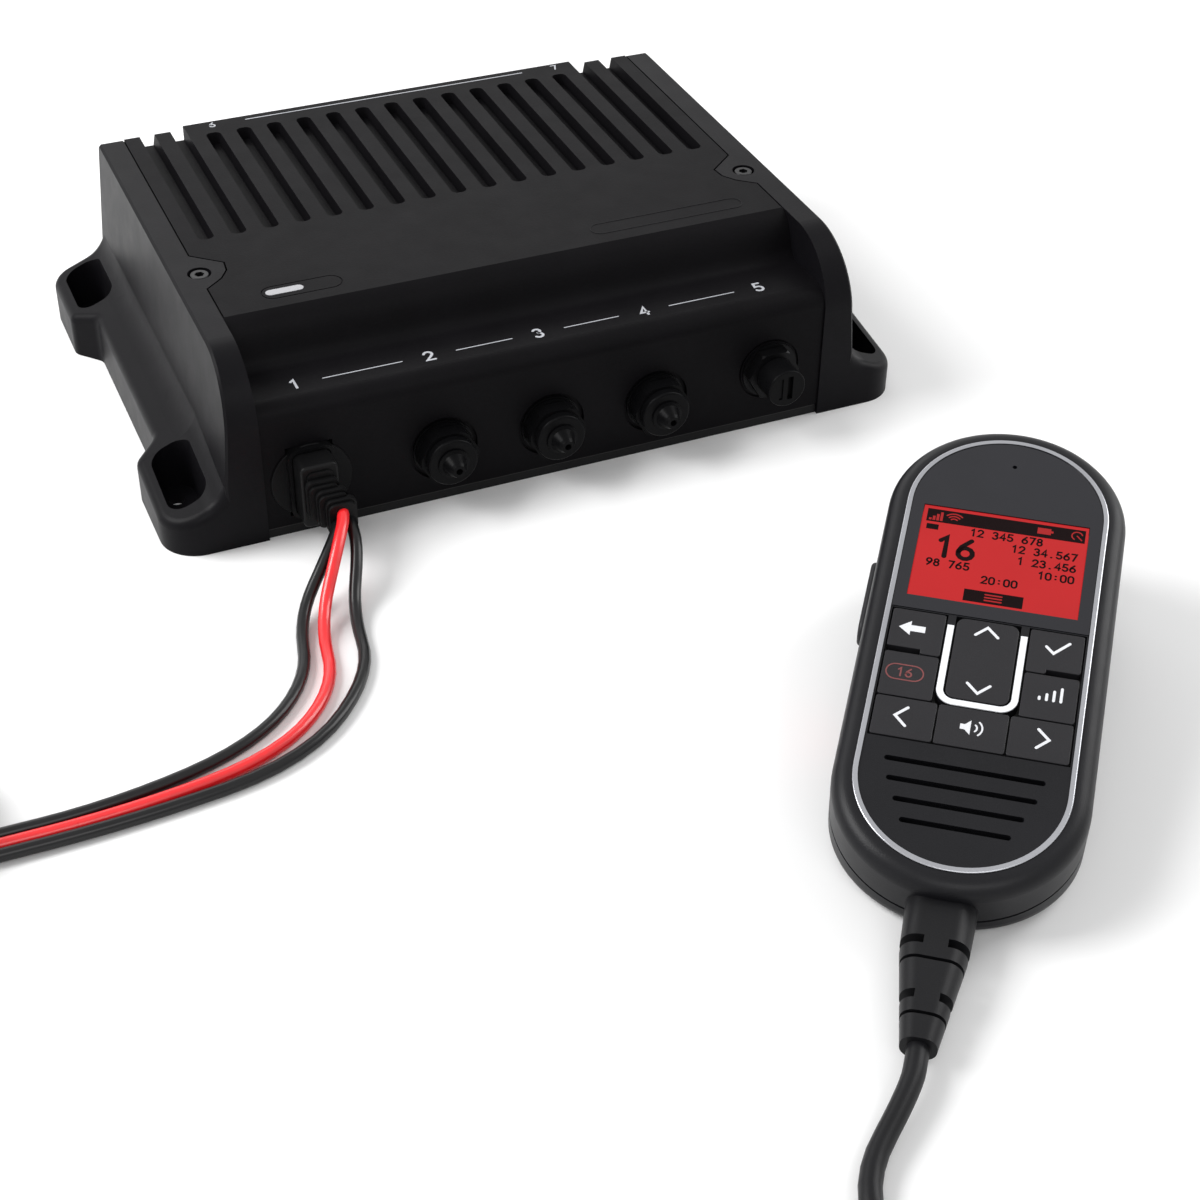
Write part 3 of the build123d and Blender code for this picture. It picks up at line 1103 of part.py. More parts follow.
def lead_points(place):
    """A supply lead's route: out of the plug's boot, down to the surface, away to the coil."""
    floor = LEAD_DIAMETER / 2 + 0.1
    coil_x, coil_y = LEAD_COIL_CENTRE
    low = LEAD_COIL_BASE + LEAD_DIAMETER / 2
    boot_x = POWER_X + PLUG_BEND_X
    boot_z = PORT_Z + PLUG_BEND_Z
    near_y = coil_y - lead_radius(place)
    outer = LEAD_COIL_RADIUS + 1.5 * LEAD_DIAMETER + 0.1
    entry_x = coil_x + math.sqrt(outer ** 2 - (lead_radius(place) - LEAD_DIAMETER / 2) ** 2) + 0.4
    start_y = PLUG_END - 1.25
    routes = (
        ((boot_x - 2.2, start_y, boot_z - 1.8), (-91.2, -119.5, 13.2), (-106.0, -134.0, floor),
         (-112.0, -164.0, floor), (-136.0, -187.0, floor), (-180.0, near_y, floor)),
        ((boot_x, start_y, boot_z + 2.0), (-88.0, -121.0, 16.5), (-101.0, -140.0, floor),
         (-105.0, -170.0, floor), (-130.0, -194.0, floor), (-178.0, near_y, floor)),
        ((boot_x + 2.2, start_y, boot_z - 1.8), (-81.5, -121.0, 13.5), (-89.5, -138.0, floor),
         (-93.0, -168.0, floor), (-123.0, -199.0, floor), (-177.0, near_y, floor)),
    )
    return routes[place] + ((entry_x, near_y, low),)


def lead_coil_height():
    return LEAD_COIL_TURNS * (LEAD_DIAMETER + 0.1) + LEAD_DIAMETER + 0.7


def coil_section(radius, half, base, height):
    """A coil's inner and outer radius, bottom and top."""
    return radius - half, radius + half, base, base + height


def make_lead_coil():
    """The supply leads' put-away length: three columns of turns, as one solid ring."""
    section = coil_section(LEAD_COIL_RADIUS, 1.5 * LEAD_DIAMETER + 0.1, LEAD_COIL_BASE, lead_coil_height())
    return make_ring(LEAD_COIL_CENTRE, *section)


def make_ring(centre, inner, outer, z0, z1):
    """A coil's outer shape: a ring with rounded edges."""
    x, y = centre
    ring = column(x, y, z0, z1, outer)
    ring = ring - column(x, y, z0 - 1, z1 + 1, inner)
    return fillet(ring.edges(), 1.6)


def make_tie(centre, angle, inner, outer, z0, z1):
    """A band round a coil's section, at an angle of the coil."""
    x, y = centre
    gap = 0.1
    half = TIE_WIDTH / 2
    near = math.sqrt(inner ** 2 - half ** 2) - gap
    inside = box(near, outer + gap, -half - 1, half + 1, z0 - gap, z1 + gap)
    outside = box(near - TIE_THICKNESS, outer + gap + TIE_THICKNESS, -half, half,
                  z0 - gap - TIE_THICKNESS, z1 + gap + TIE_THICKNESS)
    lock = box(outer + gap, outer + gap + 3.4, -half, half, z0 + 2, z0 + 6.5)
    return Pos(x, y, 0) * Rot(0, 0, angle) * (outside + lock - inside)


# ------------------------------------------------------------------ handset cord
def boot_tip(along):
    """A point on the cord's line, a distance past the boot's end."""
    return tuple((HANDSET * boot_frame() * Pos(0, -BOOT_LENGTH - along, 0)).position)


def cord_points():
    """The handset cord's route, from its boot to the coil."""
    coil_x, coil_y = CORD_COIL_CENTRE
    floor = CORD_DIAMETER / 2 + 0.1
    side_x = coil_x + CORD_COIL_RADIUS
    outer = CORD_COIL_RADIUS + CORD_DIAMETER / 2
    inner = CORD_COIL_RADIUS - CORD_DIAMETER / 2
    entry_y = coil_y + math.sqrt(outer ** 2 - inner ** 2) + 0.4
    return (boot_tip(0.0), boot_tip(12.0), (side_x + 0.6, entry_y + 42.0, floor),
            (side_x, entry_y, CORD_COIL_BASE + CORD_DIAMETER / 2))


def make_cord_coil():
    """The handset cord's turns as one solid ring, and its end that rises to the plug."""
    inner = CORD_COIL_RADIUS - CORD_DIAMETER / 2
    outer = CORD_COIL_RADIUS + CORD_DIAMETER / 2
    top = CORD_COIL_BASE + CORD_COIL_HEIGHT
    ring = make_ring(CORD_COIL_CENTRE, inner, outer, CORD_COIL_BASE, top)
    x, y = CORD_COIL_CENTRE
    axis = cord_plug_height()
    side = CORD_COIL_RADIUS
    tail_points = (
        (x + side, y + 12.0, top - 1.4), (x + side, y - 11.6, top + 1.2),
        (x + side - 16.4, y - CORD_PLUG_CHORD, axis - 2.2), (x, y - CORD_PLUG_CHORD, axis))
    return ring + make_cord("handset cord's end", tail_points, CORD_DIAMETER)


def cord_plug_height():
    """Height of the handset plug's axis, lying on the coil."""
    return CORD_COIL_BASE + CORD_COIL_HEIGHT + CORD_COLLAR_RADIUS + 0.2


def cord_plug_frame():
    """The handset plug's frame: its cord comes in at the origin and it points along -y."""
    x, y = CORD_COIL_CENTRE
    return Pos(x - 0.6, y - CORD_PLUG_CHORD, cord_plug_height()) * Rot(0, 0, -90)


def make_cord_plug():
    """The handset cord's connector: boot, grip, neck and contact insert."""
    boot = Pos(0, -4.5, 0) * Rot(90, 0, 0) * Cone(3.9, 5.4, 9.0)
    grip = fillet(barrel(0, 0, -22.0, -9.0, 7.5).edges().group_by(Axis.Y)[-1], 1.0)
    neck = barrel(0, 0, -38.0, -22.0, CORD_NECK_RADIUS)
    flange = barrel(0, 0, -30.4, -29.2, 7.0)
    plug = boot + grip + neck + flange
    holes = [(0.0, 0.0)] + [(3.1 * math.cos(a), 3.1 * math.sin(a)) for a in
                            (math.radians(30 + 60 * k) for k in range(6))]
    for x, z in holes:
        plug = plug - barrel(x, z, -39.0, -32.0, 0.55)
    return plug


def make_cord_collar():
    """The connector's locking collar, which turns on the neck."""
    collar = barrel(0, 0, -40.0, -22.3, CORD_COLLAR_RADIUS)
    collar = fillet(collar.edges().group_by(Axis.Y)[0] + collar.edges().group_by(Axis.Y)[-1], 0.6)
    collar = collar - barrel(0, 0, -41.0, -28.9, SOCKET_BARREL + CAP_CLEARANCE)
    collar = collar - barrel(0, 0, -41.0, -20.0, CORD_NECK_RADIUS + 0.08)
    for index in range(COLLAR_FLUTES):
        angle = 2 * math.pi * index / COLLAR_FLUTES
        x = (CORD_COLLAR_RADIUS + 0.5) * math.cos(angle)
        z = (CORD_COLLAR_RADIUS + 0.5) * math.sin(angle)
        collar = collar - barrel(x, z, -38.0, -25.0, 0.9)
    return collar


# ------------------------------------------------------------------ write the parts
def add(name, shape):
    nodes[name] = shape


right_frame = make_right_frame()
add("main_housing", make_housing())
add("right_end_frame", right_frame)
add("left_end_frame", mirror(right_frame, about=Plane.YZ))
add("top_screws", make_top_screws())
add("base_plate", make_base_plate())
add("base_gasket", make_gasket())
add("base_screws", make_base_screws())
add("status_lens", lens_shape(LENS_LENGTH, LENS_WIDTH, 1.8, BODY_HEIGHT + 0.15))
add("main_circuit_board", make_main_board())
add("board_screws", make_board_screws())
add("rf_power_module", make_power_module())
add("rf_shield_can", make_shield_can())
add("connector_board", make_connector_board())
for number, port_x in enumerate(HANDSET_PORTS_X, start=1):
    add(f"handset_socket_{number}", make_handset_socket(port_x))
    add(f"port_cap_{number}", make_handset_cap(port_x))
add("network_socket", make_network_socket())
add("network_cap", make_network_cap())
add("power_socket", make_power_socket())
add("power_plug", make_power_plug())
add("antenna_socket", make_antenna_socket())
add("gps_socket", make_gps_socket())

outer_key = KEYPAD_HALF - KEY_GAP
cord_boot = boot_frame() * make_boot()
handset_parts = {
    "handset_front_shell": make_front_shell() - cord_boot,
    "handset_back_shell": back_shell - cord_boot,
    "handset_seal": make_handset_seal() - cord_boot,
    "trim_ring": make_trim_ring(),
    "display_window": make_window(),
    "display_module": make_display(),
    "back_key": side_key(-1, True),
    "channel_key": side_key(-1, False),
    "ok_key": side_key(1, True),
    "output_level_key": side_key(1, False),
    "left_key": row_key(-outer_key, -ROW_X - KEY_GAP / 2),
    "volume_key": row_key(-ROW_X + KEY_GAP / 2, ROW_X - KEY_GAP / 2),
    "right_key": row_key(ROW_X + KEY_GAP / 2, outer_key),
    "nav_rocker": make_rocker(),
    "nav_trim": make_strip(),
    "keypad_mat": make_keypad_mat(),
    "handset_board": make_handset_board(),
    "speaker": make_speaker(),
    "microphone": make_microphone(),
    "talk_key": make_ptt(),
    "distress_flap": make_flap(),
    "distress_key": make_distress_key(),
    "handset_screws": make_handset_screws(),
    "hang_stud": make_stud(),
    "cord_boot": cord_boot,
}
for name, shape in handset_parts.items():
    add(name, HANDSET * shape)

add("supply_lead_black_1", make_cord("first black lead", lead_points(0), LEAD_DIAMETER))
add("supply_lead_red", make_cord("red lead", lead_points(1), LEAD_DIAMETER))
add("supply_lead_black_2", make_cord("second black lead", lead_points(2), LEAD_DIAMETER))
add("supply_lead_coil", make_lead_coil())
add("supply_lead_tie", make_tie(LEAD_COIL_CENTRE, 85, *coil_section(LEAD_COIL_RADIUS, 1.5 * LEAD_DIAMETER + 0.1,
                                                                   LEAD_COIL_BASE, lead_coil_height())))
add("handset_cord", make_cord("handset cord", cord_points(), CORD_DIAMETER))
add("handset_cord_coil", make_cord_coil())
add("handset_cord_tie", make_tie(CORD_COIL_CENTRE, 190, *coil_section(CORD_COIL_RADIUS, CORD_DIAMETER / 2,
                                                                     CORD_COIL_BASE, CORD_COIL_HEIGHT)))
add("handset_plug", cord_plug_frame() * make_cord_plug())
add("handset_plug_collar", cord_plug_frame() * make_cord_collar())

if __name__ == "__main__":
    os.makedirs("parts", exist_ok=True)
    for name, shape in nodes.items():
        export_step(shape, f"parts/{name}.step")
    print(len(nodes), "nodes")
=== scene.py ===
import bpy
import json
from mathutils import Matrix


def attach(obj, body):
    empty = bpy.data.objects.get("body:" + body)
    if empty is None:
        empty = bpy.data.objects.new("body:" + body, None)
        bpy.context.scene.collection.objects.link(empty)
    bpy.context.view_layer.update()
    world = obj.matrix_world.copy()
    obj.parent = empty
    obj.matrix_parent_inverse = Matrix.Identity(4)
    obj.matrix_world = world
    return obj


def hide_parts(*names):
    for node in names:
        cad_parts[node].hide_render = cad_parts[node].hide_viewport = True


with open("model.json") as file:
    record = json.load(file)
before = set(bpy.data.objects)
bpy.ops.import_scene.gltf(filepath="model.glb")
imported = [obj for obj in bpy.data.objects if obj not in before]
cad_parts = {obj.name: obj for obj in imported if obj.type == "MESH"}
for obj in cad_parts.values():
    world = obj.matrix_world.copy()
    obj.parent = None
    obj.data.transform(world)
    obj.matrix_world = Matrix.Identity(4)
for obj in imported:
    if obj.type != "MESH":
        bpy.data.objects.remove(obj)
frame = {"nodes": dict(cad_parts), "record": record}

"""The looks of a marine VHF radio: a finned transceiver, its supply leads and a wired handset.

Lengths are in metres and angles in degrees unless a name says otherwise. The CAD nodes keep their
shapes and places. This script gives them their finishes, draws the cords as curves and adds the
markings, the screen's picture and the small moulded details.
"""
import json
import logging
import math
from collections.abc import Iterable, Mapping, Sequence
from dataclasses import dataclass, field
from enum import Enum

import bmesh
import bpy
from mathutils import Matrix, Vector

log = logging.getLogger("marine_radio")
logging.basicConfig(level=logging.INFO, format="%(name)s: %(message)s")

MM = 0.001
SLOTS = {material["slot"] for material in frame["record"]["materials"]}
Colour = tuple[float, float, float]
Point2 = tuple[float, float]
Point3 = tuple[float, float, float]


# ---------------------------------------------------------------- shader graphs
class Signal:
    """One output of a shader node, with arithmetic that adds Math nodes."""

    def __init__(self, graph: "Graph", socket: bpy.types.NodeSocket) -> None:
        """Wraps an output socket of a graph."""
        self.graph = graph
        self.socket = socket

    def math(self, operation: str, *values: "Signal | float") -> "Signal":
        """Returns a Math node's result for one operation on its values."""
        node = self.graph.node("ShaderNodeMath", dict(enumerate(values)), operation=operation)
        return Signal(self.graph, node.outputs[0])

    def __add__(self, other: "Signal | float") -> "Signal":
        """Returns the sum."""
        return self.math("ADD", self, other)

    def __radd__(self, other: float) -> "Signal":
        """Returns a number plus the signal."""
        return self.math("ADD", other, self)

    def __sub__(self, other: "Signal | float") -> "Signal":
        """Returns the difference."""
        return self.math("SUBTRACT", self, other)

    def __rsub__(self, other: float) -> "Signal":
        """Returns a number less the signal."""
        return self.math("SUBTRACT", other, self)

    def __mul__(self, other: "Signal | float") -> "Signal":
        """Returns the product."""
        return self.math("MULTIPLY", self, other)

    def __rmul__(self, other: float) -> "Signal":
        """Returns a number times the signal."""
        return self.math("MULTIPLY", other, self)

    def ramp(self, low: float, high: float, to_low: float = 0.0, to_high: float = 1.0) -> "Signal":
        """Maps the signal from one range to another, held at its ends.

        Args:
            low: The low end of its range.
            high: The high end of its range.
            to_low: What the low end becomes.
            to_high: What the high end becomes.

        Returns:
            The mapped signal.
        """
        node = self.graph.node("ShaderNodeMapRange", {
            "Value": self, "From Min": low, "From Max": high, "To Min": to_low, "To Max": to_high})
        return Signal(self.graph, node.outputs["Result"])


class Graph:
    """The node tree of a material or world, around its one shader."""

    NOISE_ROUGHNESS = 0.55

    def __init__(self, owner: bpy.types.Material | bpy.types.World,
                 shader: str = "ShaderNodeBsdfPrincipled",
                 output: str = "ShaderNodeOutputMaterial") -> None:
        """Clears the owner's tree and puts a shader and an output in it.

        Args:
            owner: The material or world.
            shader: The shader node's type.
            output: The output node's type.
        """
        owner.use_nodes = True
        self.owner = owner
        self.tree = owner.node_tree
        self.tree.nodes.clear()
        self.shader = self.node(shader)
        self.node(output, {"Surface": Signal(self, self.shader.outputs[0])})

    def node(self, kind: str, inputs: Mapping[str | int, object] | None = None,
             **settings: object) -> bpy.types.Node:
        """Adds a node.

        Args:
            kind: The node's type name.
            inputs: Values or signals for its inputs, by name or number.
            **settings: Its own properties, such as operation.

        Returns:
            The new node.
        """
        node = self.tree.nodes.new(kind)
        for key, value in settings.items():
            setattr(node, key, value)
        for key, value in (inputs or {}).items():
            self.feed(node.inputs[key], value)
        return node

    def feed(self, socket: bpy.types.NodeSocket, value: object) -> None:
        """Links a signal to a socket, or sets the socket's own value.

        Args:
            socket: The input socket.
            value: A signal, or a plain number, colour or vector.
        """
        if isinstance(value, Signal):
            self.tree.links.new(value.socket, socket)
        else:
            socket.default_value = value

    def place(self, stretch: Point3 = (1.0, 1.0, 1.0), turn: Matrix | None = None) -> Signal:
        """Gives object coordinates, stretched along each axis after an optional turn.

        Args:
            stretch: Factor along each axis.
            turn: The turn that comes first.

        Returns:
            The coordinates.
        """
        where = self.node("ShaderNodeTexCoord").outputs["Object"]
        angles = turn.to_euler() if turn is not None else (0.0, 0.0, 0.0)
        mapping = self.node("ShaderNodeMapping",
                            {"Vector": Signal(self, where), "Rotation": tuple(angles)})
        turned = Signal(self, mapping.outputs[0])
        scaled = self.node("ShaderNodeVectorMath", {0: turned, 1: stretch}, operation="MULTIPLY")
        return Signal(self, scaled.outputs[0])

    def noise(self, size: float, detail: float = 2.0, where: Signal | None = None) -> Signal:
        """Gives noise from 0 to 1.

        Args:
            size: How far across its blotches are, roughly.
            detail: How many finer layers it has.
            where: The coordinates it is drawn in.

        Returns:
            The noise.
        """
        node = self.node("ShaderNodeTexNoise", {
            "Vector": where or self.place(), "Scale": 1.0 / size, "Detail": detail,
            "Roughness": self.NOISE_ROUGHNESS})
        return Signal(self, node.outputs[0])

    def cells(self, size: float, where: Signal | None = None) -> Signal:
        """Returns the distance to the nearest of scattered points, in shares of their spacing."""
        node = self.node("ShaderNodeTexVoronoi",
                         {"Vector": where or self.place(), "Scale": 1.0 / size})
        return Signal(self, node.outputs["Distance"])

    def axis(self, index: int, where: Signal) -> Signal:
        """Returns one coordinate of a vector signal."""
        return Signal(self, self.node("ShaderNodeSeparateXYZ", {0: where}).outputs[index])

    def blend(self, share: Signal, low: Colour, high: Colour) -> Signal:
        """Mixes two colours. A Mix node's colour sockets are its inputs 6 and 7 and its output 2.

        Args:
            share: How much of the second colour there is, 0 to 1.
            low: The first colour.
            high: The second colour.

        Returns:
            The mixed colour.
        """
        node = self.node("ShaderNodeMix", {"Factor": share, 6: (*low, 1.0), 7: (*high, 1.0)},
                         data_type="RGBA")
        return Signal(self, node.outputs[2])

    def bump(self, height: Signal, depth: float) -> None:
        """Raises the surface by a height signal times a depth in metres."""
        node = self.node("ShaderNodeBump", {"Height": height, "Distance": depth, "Strength": 1.0})
        self.feed(self.shader.inputs["Normal"], Signal(self, node.outputs[0]))

    def fixed(self, **values: float) -> None:
        """Sets constants on the shader's own sockets. An underscore in a name is a space."""
        for name, value in values.items():
            self.shader.inputs[name.replace("_", " ")].default_value = value


class Grain(Enum):
    """The kind of small relief that a finish has."""

    POWDER = "powder"
    SPARK = "spark"
    BRUSHED = "brushed"
    SMOOTH = "smooth"
    TURNED = "turned"


@dataclass(frozen=True)
class Finish:
    """How a surface looks.

    Attributes:
        name: The material's name.
        colour: Linear base colour.
        roughness: Mean roughness.
        grain: The kind of relief.
        grain_size: The relief's pitch.
        grain_depth: The relief's height.
        mottle: How far the colour varies, as a share of itself.
        metallic: 1 for bare metal.
        coat: Strength of a clear coat.
        scuff: How far worn patches are rougher than the rest.
        gleam: Specular level, 0.5 for a plain dielectric.
    """

    name: str
    colour: Colour
    roughness: float
    grain: Grain = Grain.SMOOTH
    grain_size: float = 0.6 * MM
    grain_depth: float = 0.02 * MM
    mottle: float = 0.12
    metallic: float = 0.0
    coat: float = 0.0
    scuff: float = 0.06
    gleam: float = 0.5

    PIT_SPACING = 1.7
    PIT_SHARE = 0.3
    POWDER_SHARE = 0.7
    BRUSH_STRETCH = (1.0, 1.0, 0.06)
    TURN_STRETCH = (0.1, 1.0, 0.1)
    SMOOTH_SPACING = 3
    CLOUD_SIZE = 24 * MM
    CLOUD_SHARE = 0.6
    FINE_SHARE = 0.4
    PATCH_SIZE = 9 * MM
    COAT_ROUGHNESS = 0.08

    def build(self) -> bpy.types.Material:
        """Builds the finish as a material.

        Returns:
            The new material.
        """
        graph = Graph(bpy.data.materials.new(self.name))
        cloud = graph.noise(self.CLOUD_SIZE, 3.0)
        fine = self._relief(graph)
        shade = cloud * self.CLOUD_SHARE + fine * self.FINE_SHARE
        dark = tuple(c * (1 - self.mottle) for c in self.colour)
        light = tuple(min(1.0, c * (1 + self.mottle)) for c in self.colour)
        graph.feed(graph.shader.inputs["Base Color"],
                   graph.blend(shade.ramp(0.3, 0.7), dark, light))
        rough = (graph.noise(self.PATCH_SIZE, 4.0) - 0.5) * (2 * self.scuff) + self.roughness
        graph.feed(graph.shader.inputs["Roughness"], rough)
        graph.bump(fine, self.grain_depth)
        graph.fixed(Metallic=self.metallic, Coat_Weight=self.coat,
                    Coat_Roughness=self.COAT_ROUGHNESS, Specular_IOR_Level=self.gleam)
        return graph.owner

    def _relief(self, graph: Graph) -> Signal:
        """Draws the finish's small relief.

        Args:
            graph: The graph it is added to.

        Returns:
            The relief's height, 0 to about 1.
        """
        if self.grain is Grain.POWDER:
            powder = graph.noise(self.grain_size, 2.0)
            pits = graph.cells(self.PIT_SPACING * self.grain_size)
            return powder * self.POWDER_SHARE + pits * self.PIT_SHARE
        if self.grain is Grain.SPARK:
            return graph.cells(self.grain_size)
        if self.grain is Grain.BRUSHED:
            return graph.noise(self.grain_size, 2.0, graph.place(self.BRUSH_STRETCH))
        if self.grain is Grain.TURNED:
            return graph.noise(self.grain_size, 1.0, graph.place(self.TURN_STRETCH))
        return graph.noise(self.SMOOTH_SPACING * self.grain_size, 1.0)


class Palette:
    """Every finish, built once and given out by name."""

    DOT_GAP = 0.12
    RED_GLOW = (0.50, 0.012, 0.014)
    RED_FACE = (0.06, 0.002, 0.002)
    RED_EDGE = (0.02, 0.0, 0.0)
    BLACK = (0.0, 0.0, 0.0)

    FINISHES = (
        Finish("housing_coat", (0.0042, 0.0039, 0.0046), 0.45, Grain.POWDER, 0.55 * MM,
               0.035 * MM, 0.25, gleam=0.045),
        Finish("frame_coat", (0.0045, 0.0042, 0.0052), 0.4, Grain.POWDER, 0.5 * MM, 0.03 * MM, 0.25,
               gleam=0.07),
        Finish("base_coat", (0.006, 0.006, 0.0065), 0.6, Grain.POWDER, 0.6 * MM, 0.03 * MM, 0.3,
               gleam=0.2),
        Finish("black_screw", (0.012, 0.012, 0.013), 0.3, Grain.TURNED, 0.4 * MM, 0.01 * MM, 0.3,
               metallic=0.6, gleam=0.3),
        Finish("steel_screw", (0.55, 0.55, 0.54), 0.3, Grain.TURNED, 0.4 * MM, 0.01 * MM, 0.1,
               metallic=1.0),
        Finish("seal_rubber", (0.012, 0.012, 0.012), 0.7, Grain.SMOOTH, 0.8 * MM, 0.02 * MM, 0.2),
        Finish("chip_black", (0.02, 0.02, 0.02), 0.5, Grain.SPARK, 0.3 * MM, 0.01 * MM, 0.2),
        Finish("shield_tin", (0.6, 0.61, 0.6), 0.28, Grain.BRUSHED, 0.5 * MM, 0.01 * MM, 0.12,
               metallic=1.0),
        Finish("connector_metal", (0.006, 0.006, 0.0066), 0.34, Grain.TURNED, 0.35 * MM,
               0.012 * MM, 0.3, metallic=0.4, gleam=0.12),
        Finish("cap_plastic", (0.0034, 0.0034, 0.0038), 0.32, Grain.SPARK, 0.35 * MM, 0.012 * MM,
               0.25, gleam=0.05),
        Finish("socket_plastic", (0.0038, 0.0038, 0.0042), 0.4, Grain.SPARK, 0.35 * MM,
               0.014 * MM, 0.25, gleam=0.08),
        Finish("plug_rubber", (0.0042, 0.0042, 0.0045), 0.42, Grain.SPARK, 0.4 * MM, 0.012 * MM,
               0.2, gleam=0.12),
        Finish("aerial_metal", (0.6, 0.59, 0.56), 0.24, Grain.TURNED, 0.6 * MM, 0.03 * MM, 0.15,
               metallic=1.0),
        Finish("lead_red", (0.78, 0.012, 0.016), 0.3, Grain.SMOOTH, 1.5 * MM, 0.03 * MM, 0.1,
               coat=0.3),
        Finish("lead_black", (0.004, 0.004, 0.0045), 0.3, Grain.SMOOTH, 1.5 * MM, 0.03 * MM, 0.2,
               coat=0.1, gleam=0.25),
        Finish("tie_nylon", (0.015, 0.015, 0.015), 0.38, Grain.BRUSHED, 0.5 * MM, 0.03 * MM, 0.2),
        Finish("tinned_copper", (0.68, 0.66, 0.62), 0.28, Grain.BRUSHED, 0.4 * MM, 0.05 * MM, 0.1,
               metallic=1.0),
        Finish("shell_plastic", (0.0065, 0.0065, 0.008), 0.38, Grain.SPARK, 0.4 * MM, 0.02 * MM,
               0.2, gleam=0.18),
        Finish("trim_silver", (0.4, 0.405, 0.43), 0.24, Grain.BRUSHED, 0.4 * MM, 0.008 * MM, 0.1,
               metallic=1.0),
        Finish("window_glass", (0.0085, 0.0085, 0.012), 0.2, Grain.SMOOTH, 5 * MM, 0.006 * MM, 0.1,
               coat=0.15, gleam=0.3),
        Finish("key_rubber", (0.0125, 0.012, 0.014), 0.45, Grain.SPARK, 0.35 * MM, 0.014 * MM, 0.15,
               gleam=0.24),
        Finish("strip_white", (0.82, 0.83, 0.86), 0.3, Grain.SMOOTH, 1.0 * MM, 0.01 * MM, 0.04,
               coat=0.3),
        Finish("flap_red", (0.5, 0.012, 0.014), 0.32, Grain.SPARK, 0.4 * MM, 0.012 * MM, 0.1),
        Finish("speaker_black", (0.014, 0.014, 0.014), 0.8, Grain.POWDER, 0.5 * MM, 0.05 * MM, 0.2),
        Finish("stud_metal", (0.55, 0.55, 0.54), 0.25, Grain.TURNED, 0.5 * MM, 0.015 * MM, 0.1,
               metallic=1.0),
        Finish("cord_rubber", (0.0055, 0.0055, 0.0065), 0.4, Grain.SPARK, 0.45 * MM, 0.015 * MM,
               0.2, gleam=0.18),
        Finish("plug_metal", (0.012, 0.012, 0.013), 0.3, Grain.TURNED, 0.4 * MM, 0.012 * MM, 0.3,
               metallic=0.7, gleam=0.3),
        Finish("panel_ink", (0.42, 0.43, 0.46), 0.5, Grain.POWDER, 0.5 * MM, 0.02 * MM, 0.12),
        Finish("key_ink", (0.72, 0.73, 0.76), 0.42, Grain.SPARK, 0.4 * MM, 0.01 * MM, 0.06),
        Finish("key_red_ink", (0.16, 0.035, 0.035), 0.5, Grain.SPARK, 0.4 * MM, 0.01 * MM, 0.15),
        Finish("screen_dark", (0.005, 0.0012, 0.0015), 0.4, Grain.SMOOTH, 1.0 * MM, 0.002 * MM, 0.2,
               gleam=0.06),
    )

    def __init__(self) -> None:
        """Builds every finish."""
        self._made: dict[str, bpy.types.Material] = {f.name: f.build() for f in self.FINISHES}
        self._made["board_green"] = self._board()
        self._made["lens_smoke"] = self._lens()
        self._made["display_red"] = self._screen("display_red", 1.0)
        self._made["screen_glow"] = self._screen("screen_glow", 0.7)

    def __getitem__(self, name: str) -> bpy.types.Material:
        """Returns a finish's material."""
        return self._made[name]

    def dress(self, obj: bpy.types.Object, name: str) -> None:
        """Gives an object one finish and no other."""
        obj.data.materials.clear()
        obj.data.materials.append(self[name])

    def _board(self) -> bpy.types.Material:
        """Builds solder resist with faint tracks under it.

        Returns:
            The new material.
        """
        graph = Graph(bpy.data.materials.new("board_green"))
        tracks = graph.cells(2.6 * MM, graph.place((1.0, 0.35, 1.0))).ramp(0.42, 0.46)
        graph.feed(graph.shader.inputs["Base Color"],
                   graph.blend(tracks, (0.010, 0.055, 0.028), (0.022, 0.10, 0.05)))
        rough = graph.noise(6 * MM, 3.0).ramp(0.2, 0.8, 0.25, 0.4)
        graph.feed(graph.shader.inputs["Roughness"], rough)
        graph.bump(tracks, 0.03 * MM)
        return graph.owner

    def _lens(self) -> bpy.types.Material:
        """Builds the status lens's milky plastic.

        Returns:
            The new material.
        """
        graph = Graph(bpy.data.materials.new("lens_smoke"))
        haze = graph.noise(4 * MM, 2.0)
        graph.feed(graph.shader.inputs["Base Color"],
                   graph.blend(haze, (0.2, 0.2, 0.215), (0.28, 0.28, 0.3)))
        graph.feed(graph.shader.inputs["Roughness"], haze.ramp(0.2, 0.8, 0.22, 0.3))
        graph.bump(haze, 0.01 * MM)
        graph.fixed(Coat_Weight=0.5, Coat_Roughness=0.1)
        return graph.owner

    def _screen(self, name: str, strength: float) -> bpy.types.Material:
        """Builds a lit red liquid-crystal face: an even glow with a faint grid of dots.

        Args:
            name: The material's name.
            strength: How brightly it glows.

        Returns:
            The new material.
        """
        graph = Graph(bpy.data.materials.new(name))
        where = graph.place(turn=HANDSET_TURN.inverted())
        column = graph.axis(0, where) * (1 / SCREEN_DOT)
        row = graph.axis(1, where) * (1 / SCREEN_DOT)
        across = column.math("FRACT", column)
        along = row.math("FRACT", row)
        grid = across.ramp(0.0, self.DOT_GAP) * along.ramp(0.0, self.DOT_GAP)
        glow = graph.noise(26 * MM, 1.0).ramp(0.3, 0.7, 0.93, 1.0) * grid.ramp(0.0, 1.0, 0.9, 1.0)
        inputs = graph.shader.inputs
        graph.feed(inputs["Emission Color"], graph.blend(glow, self.BLACK, self.RED_GLOW))
        graph.feed(inputs["Base Color"], graph.blend(glow, self.RED_EDGE, self.RED_FACE))
        graph.feed(inputs["Roughness"], graph.noise(12 * MM, 2.0).ramp(0.2, 0.8, 0.3, 0.4))
        graph.fixed(Emission_Strength=strength, Specular_IOR_Level=0.2)
        return graph.owner


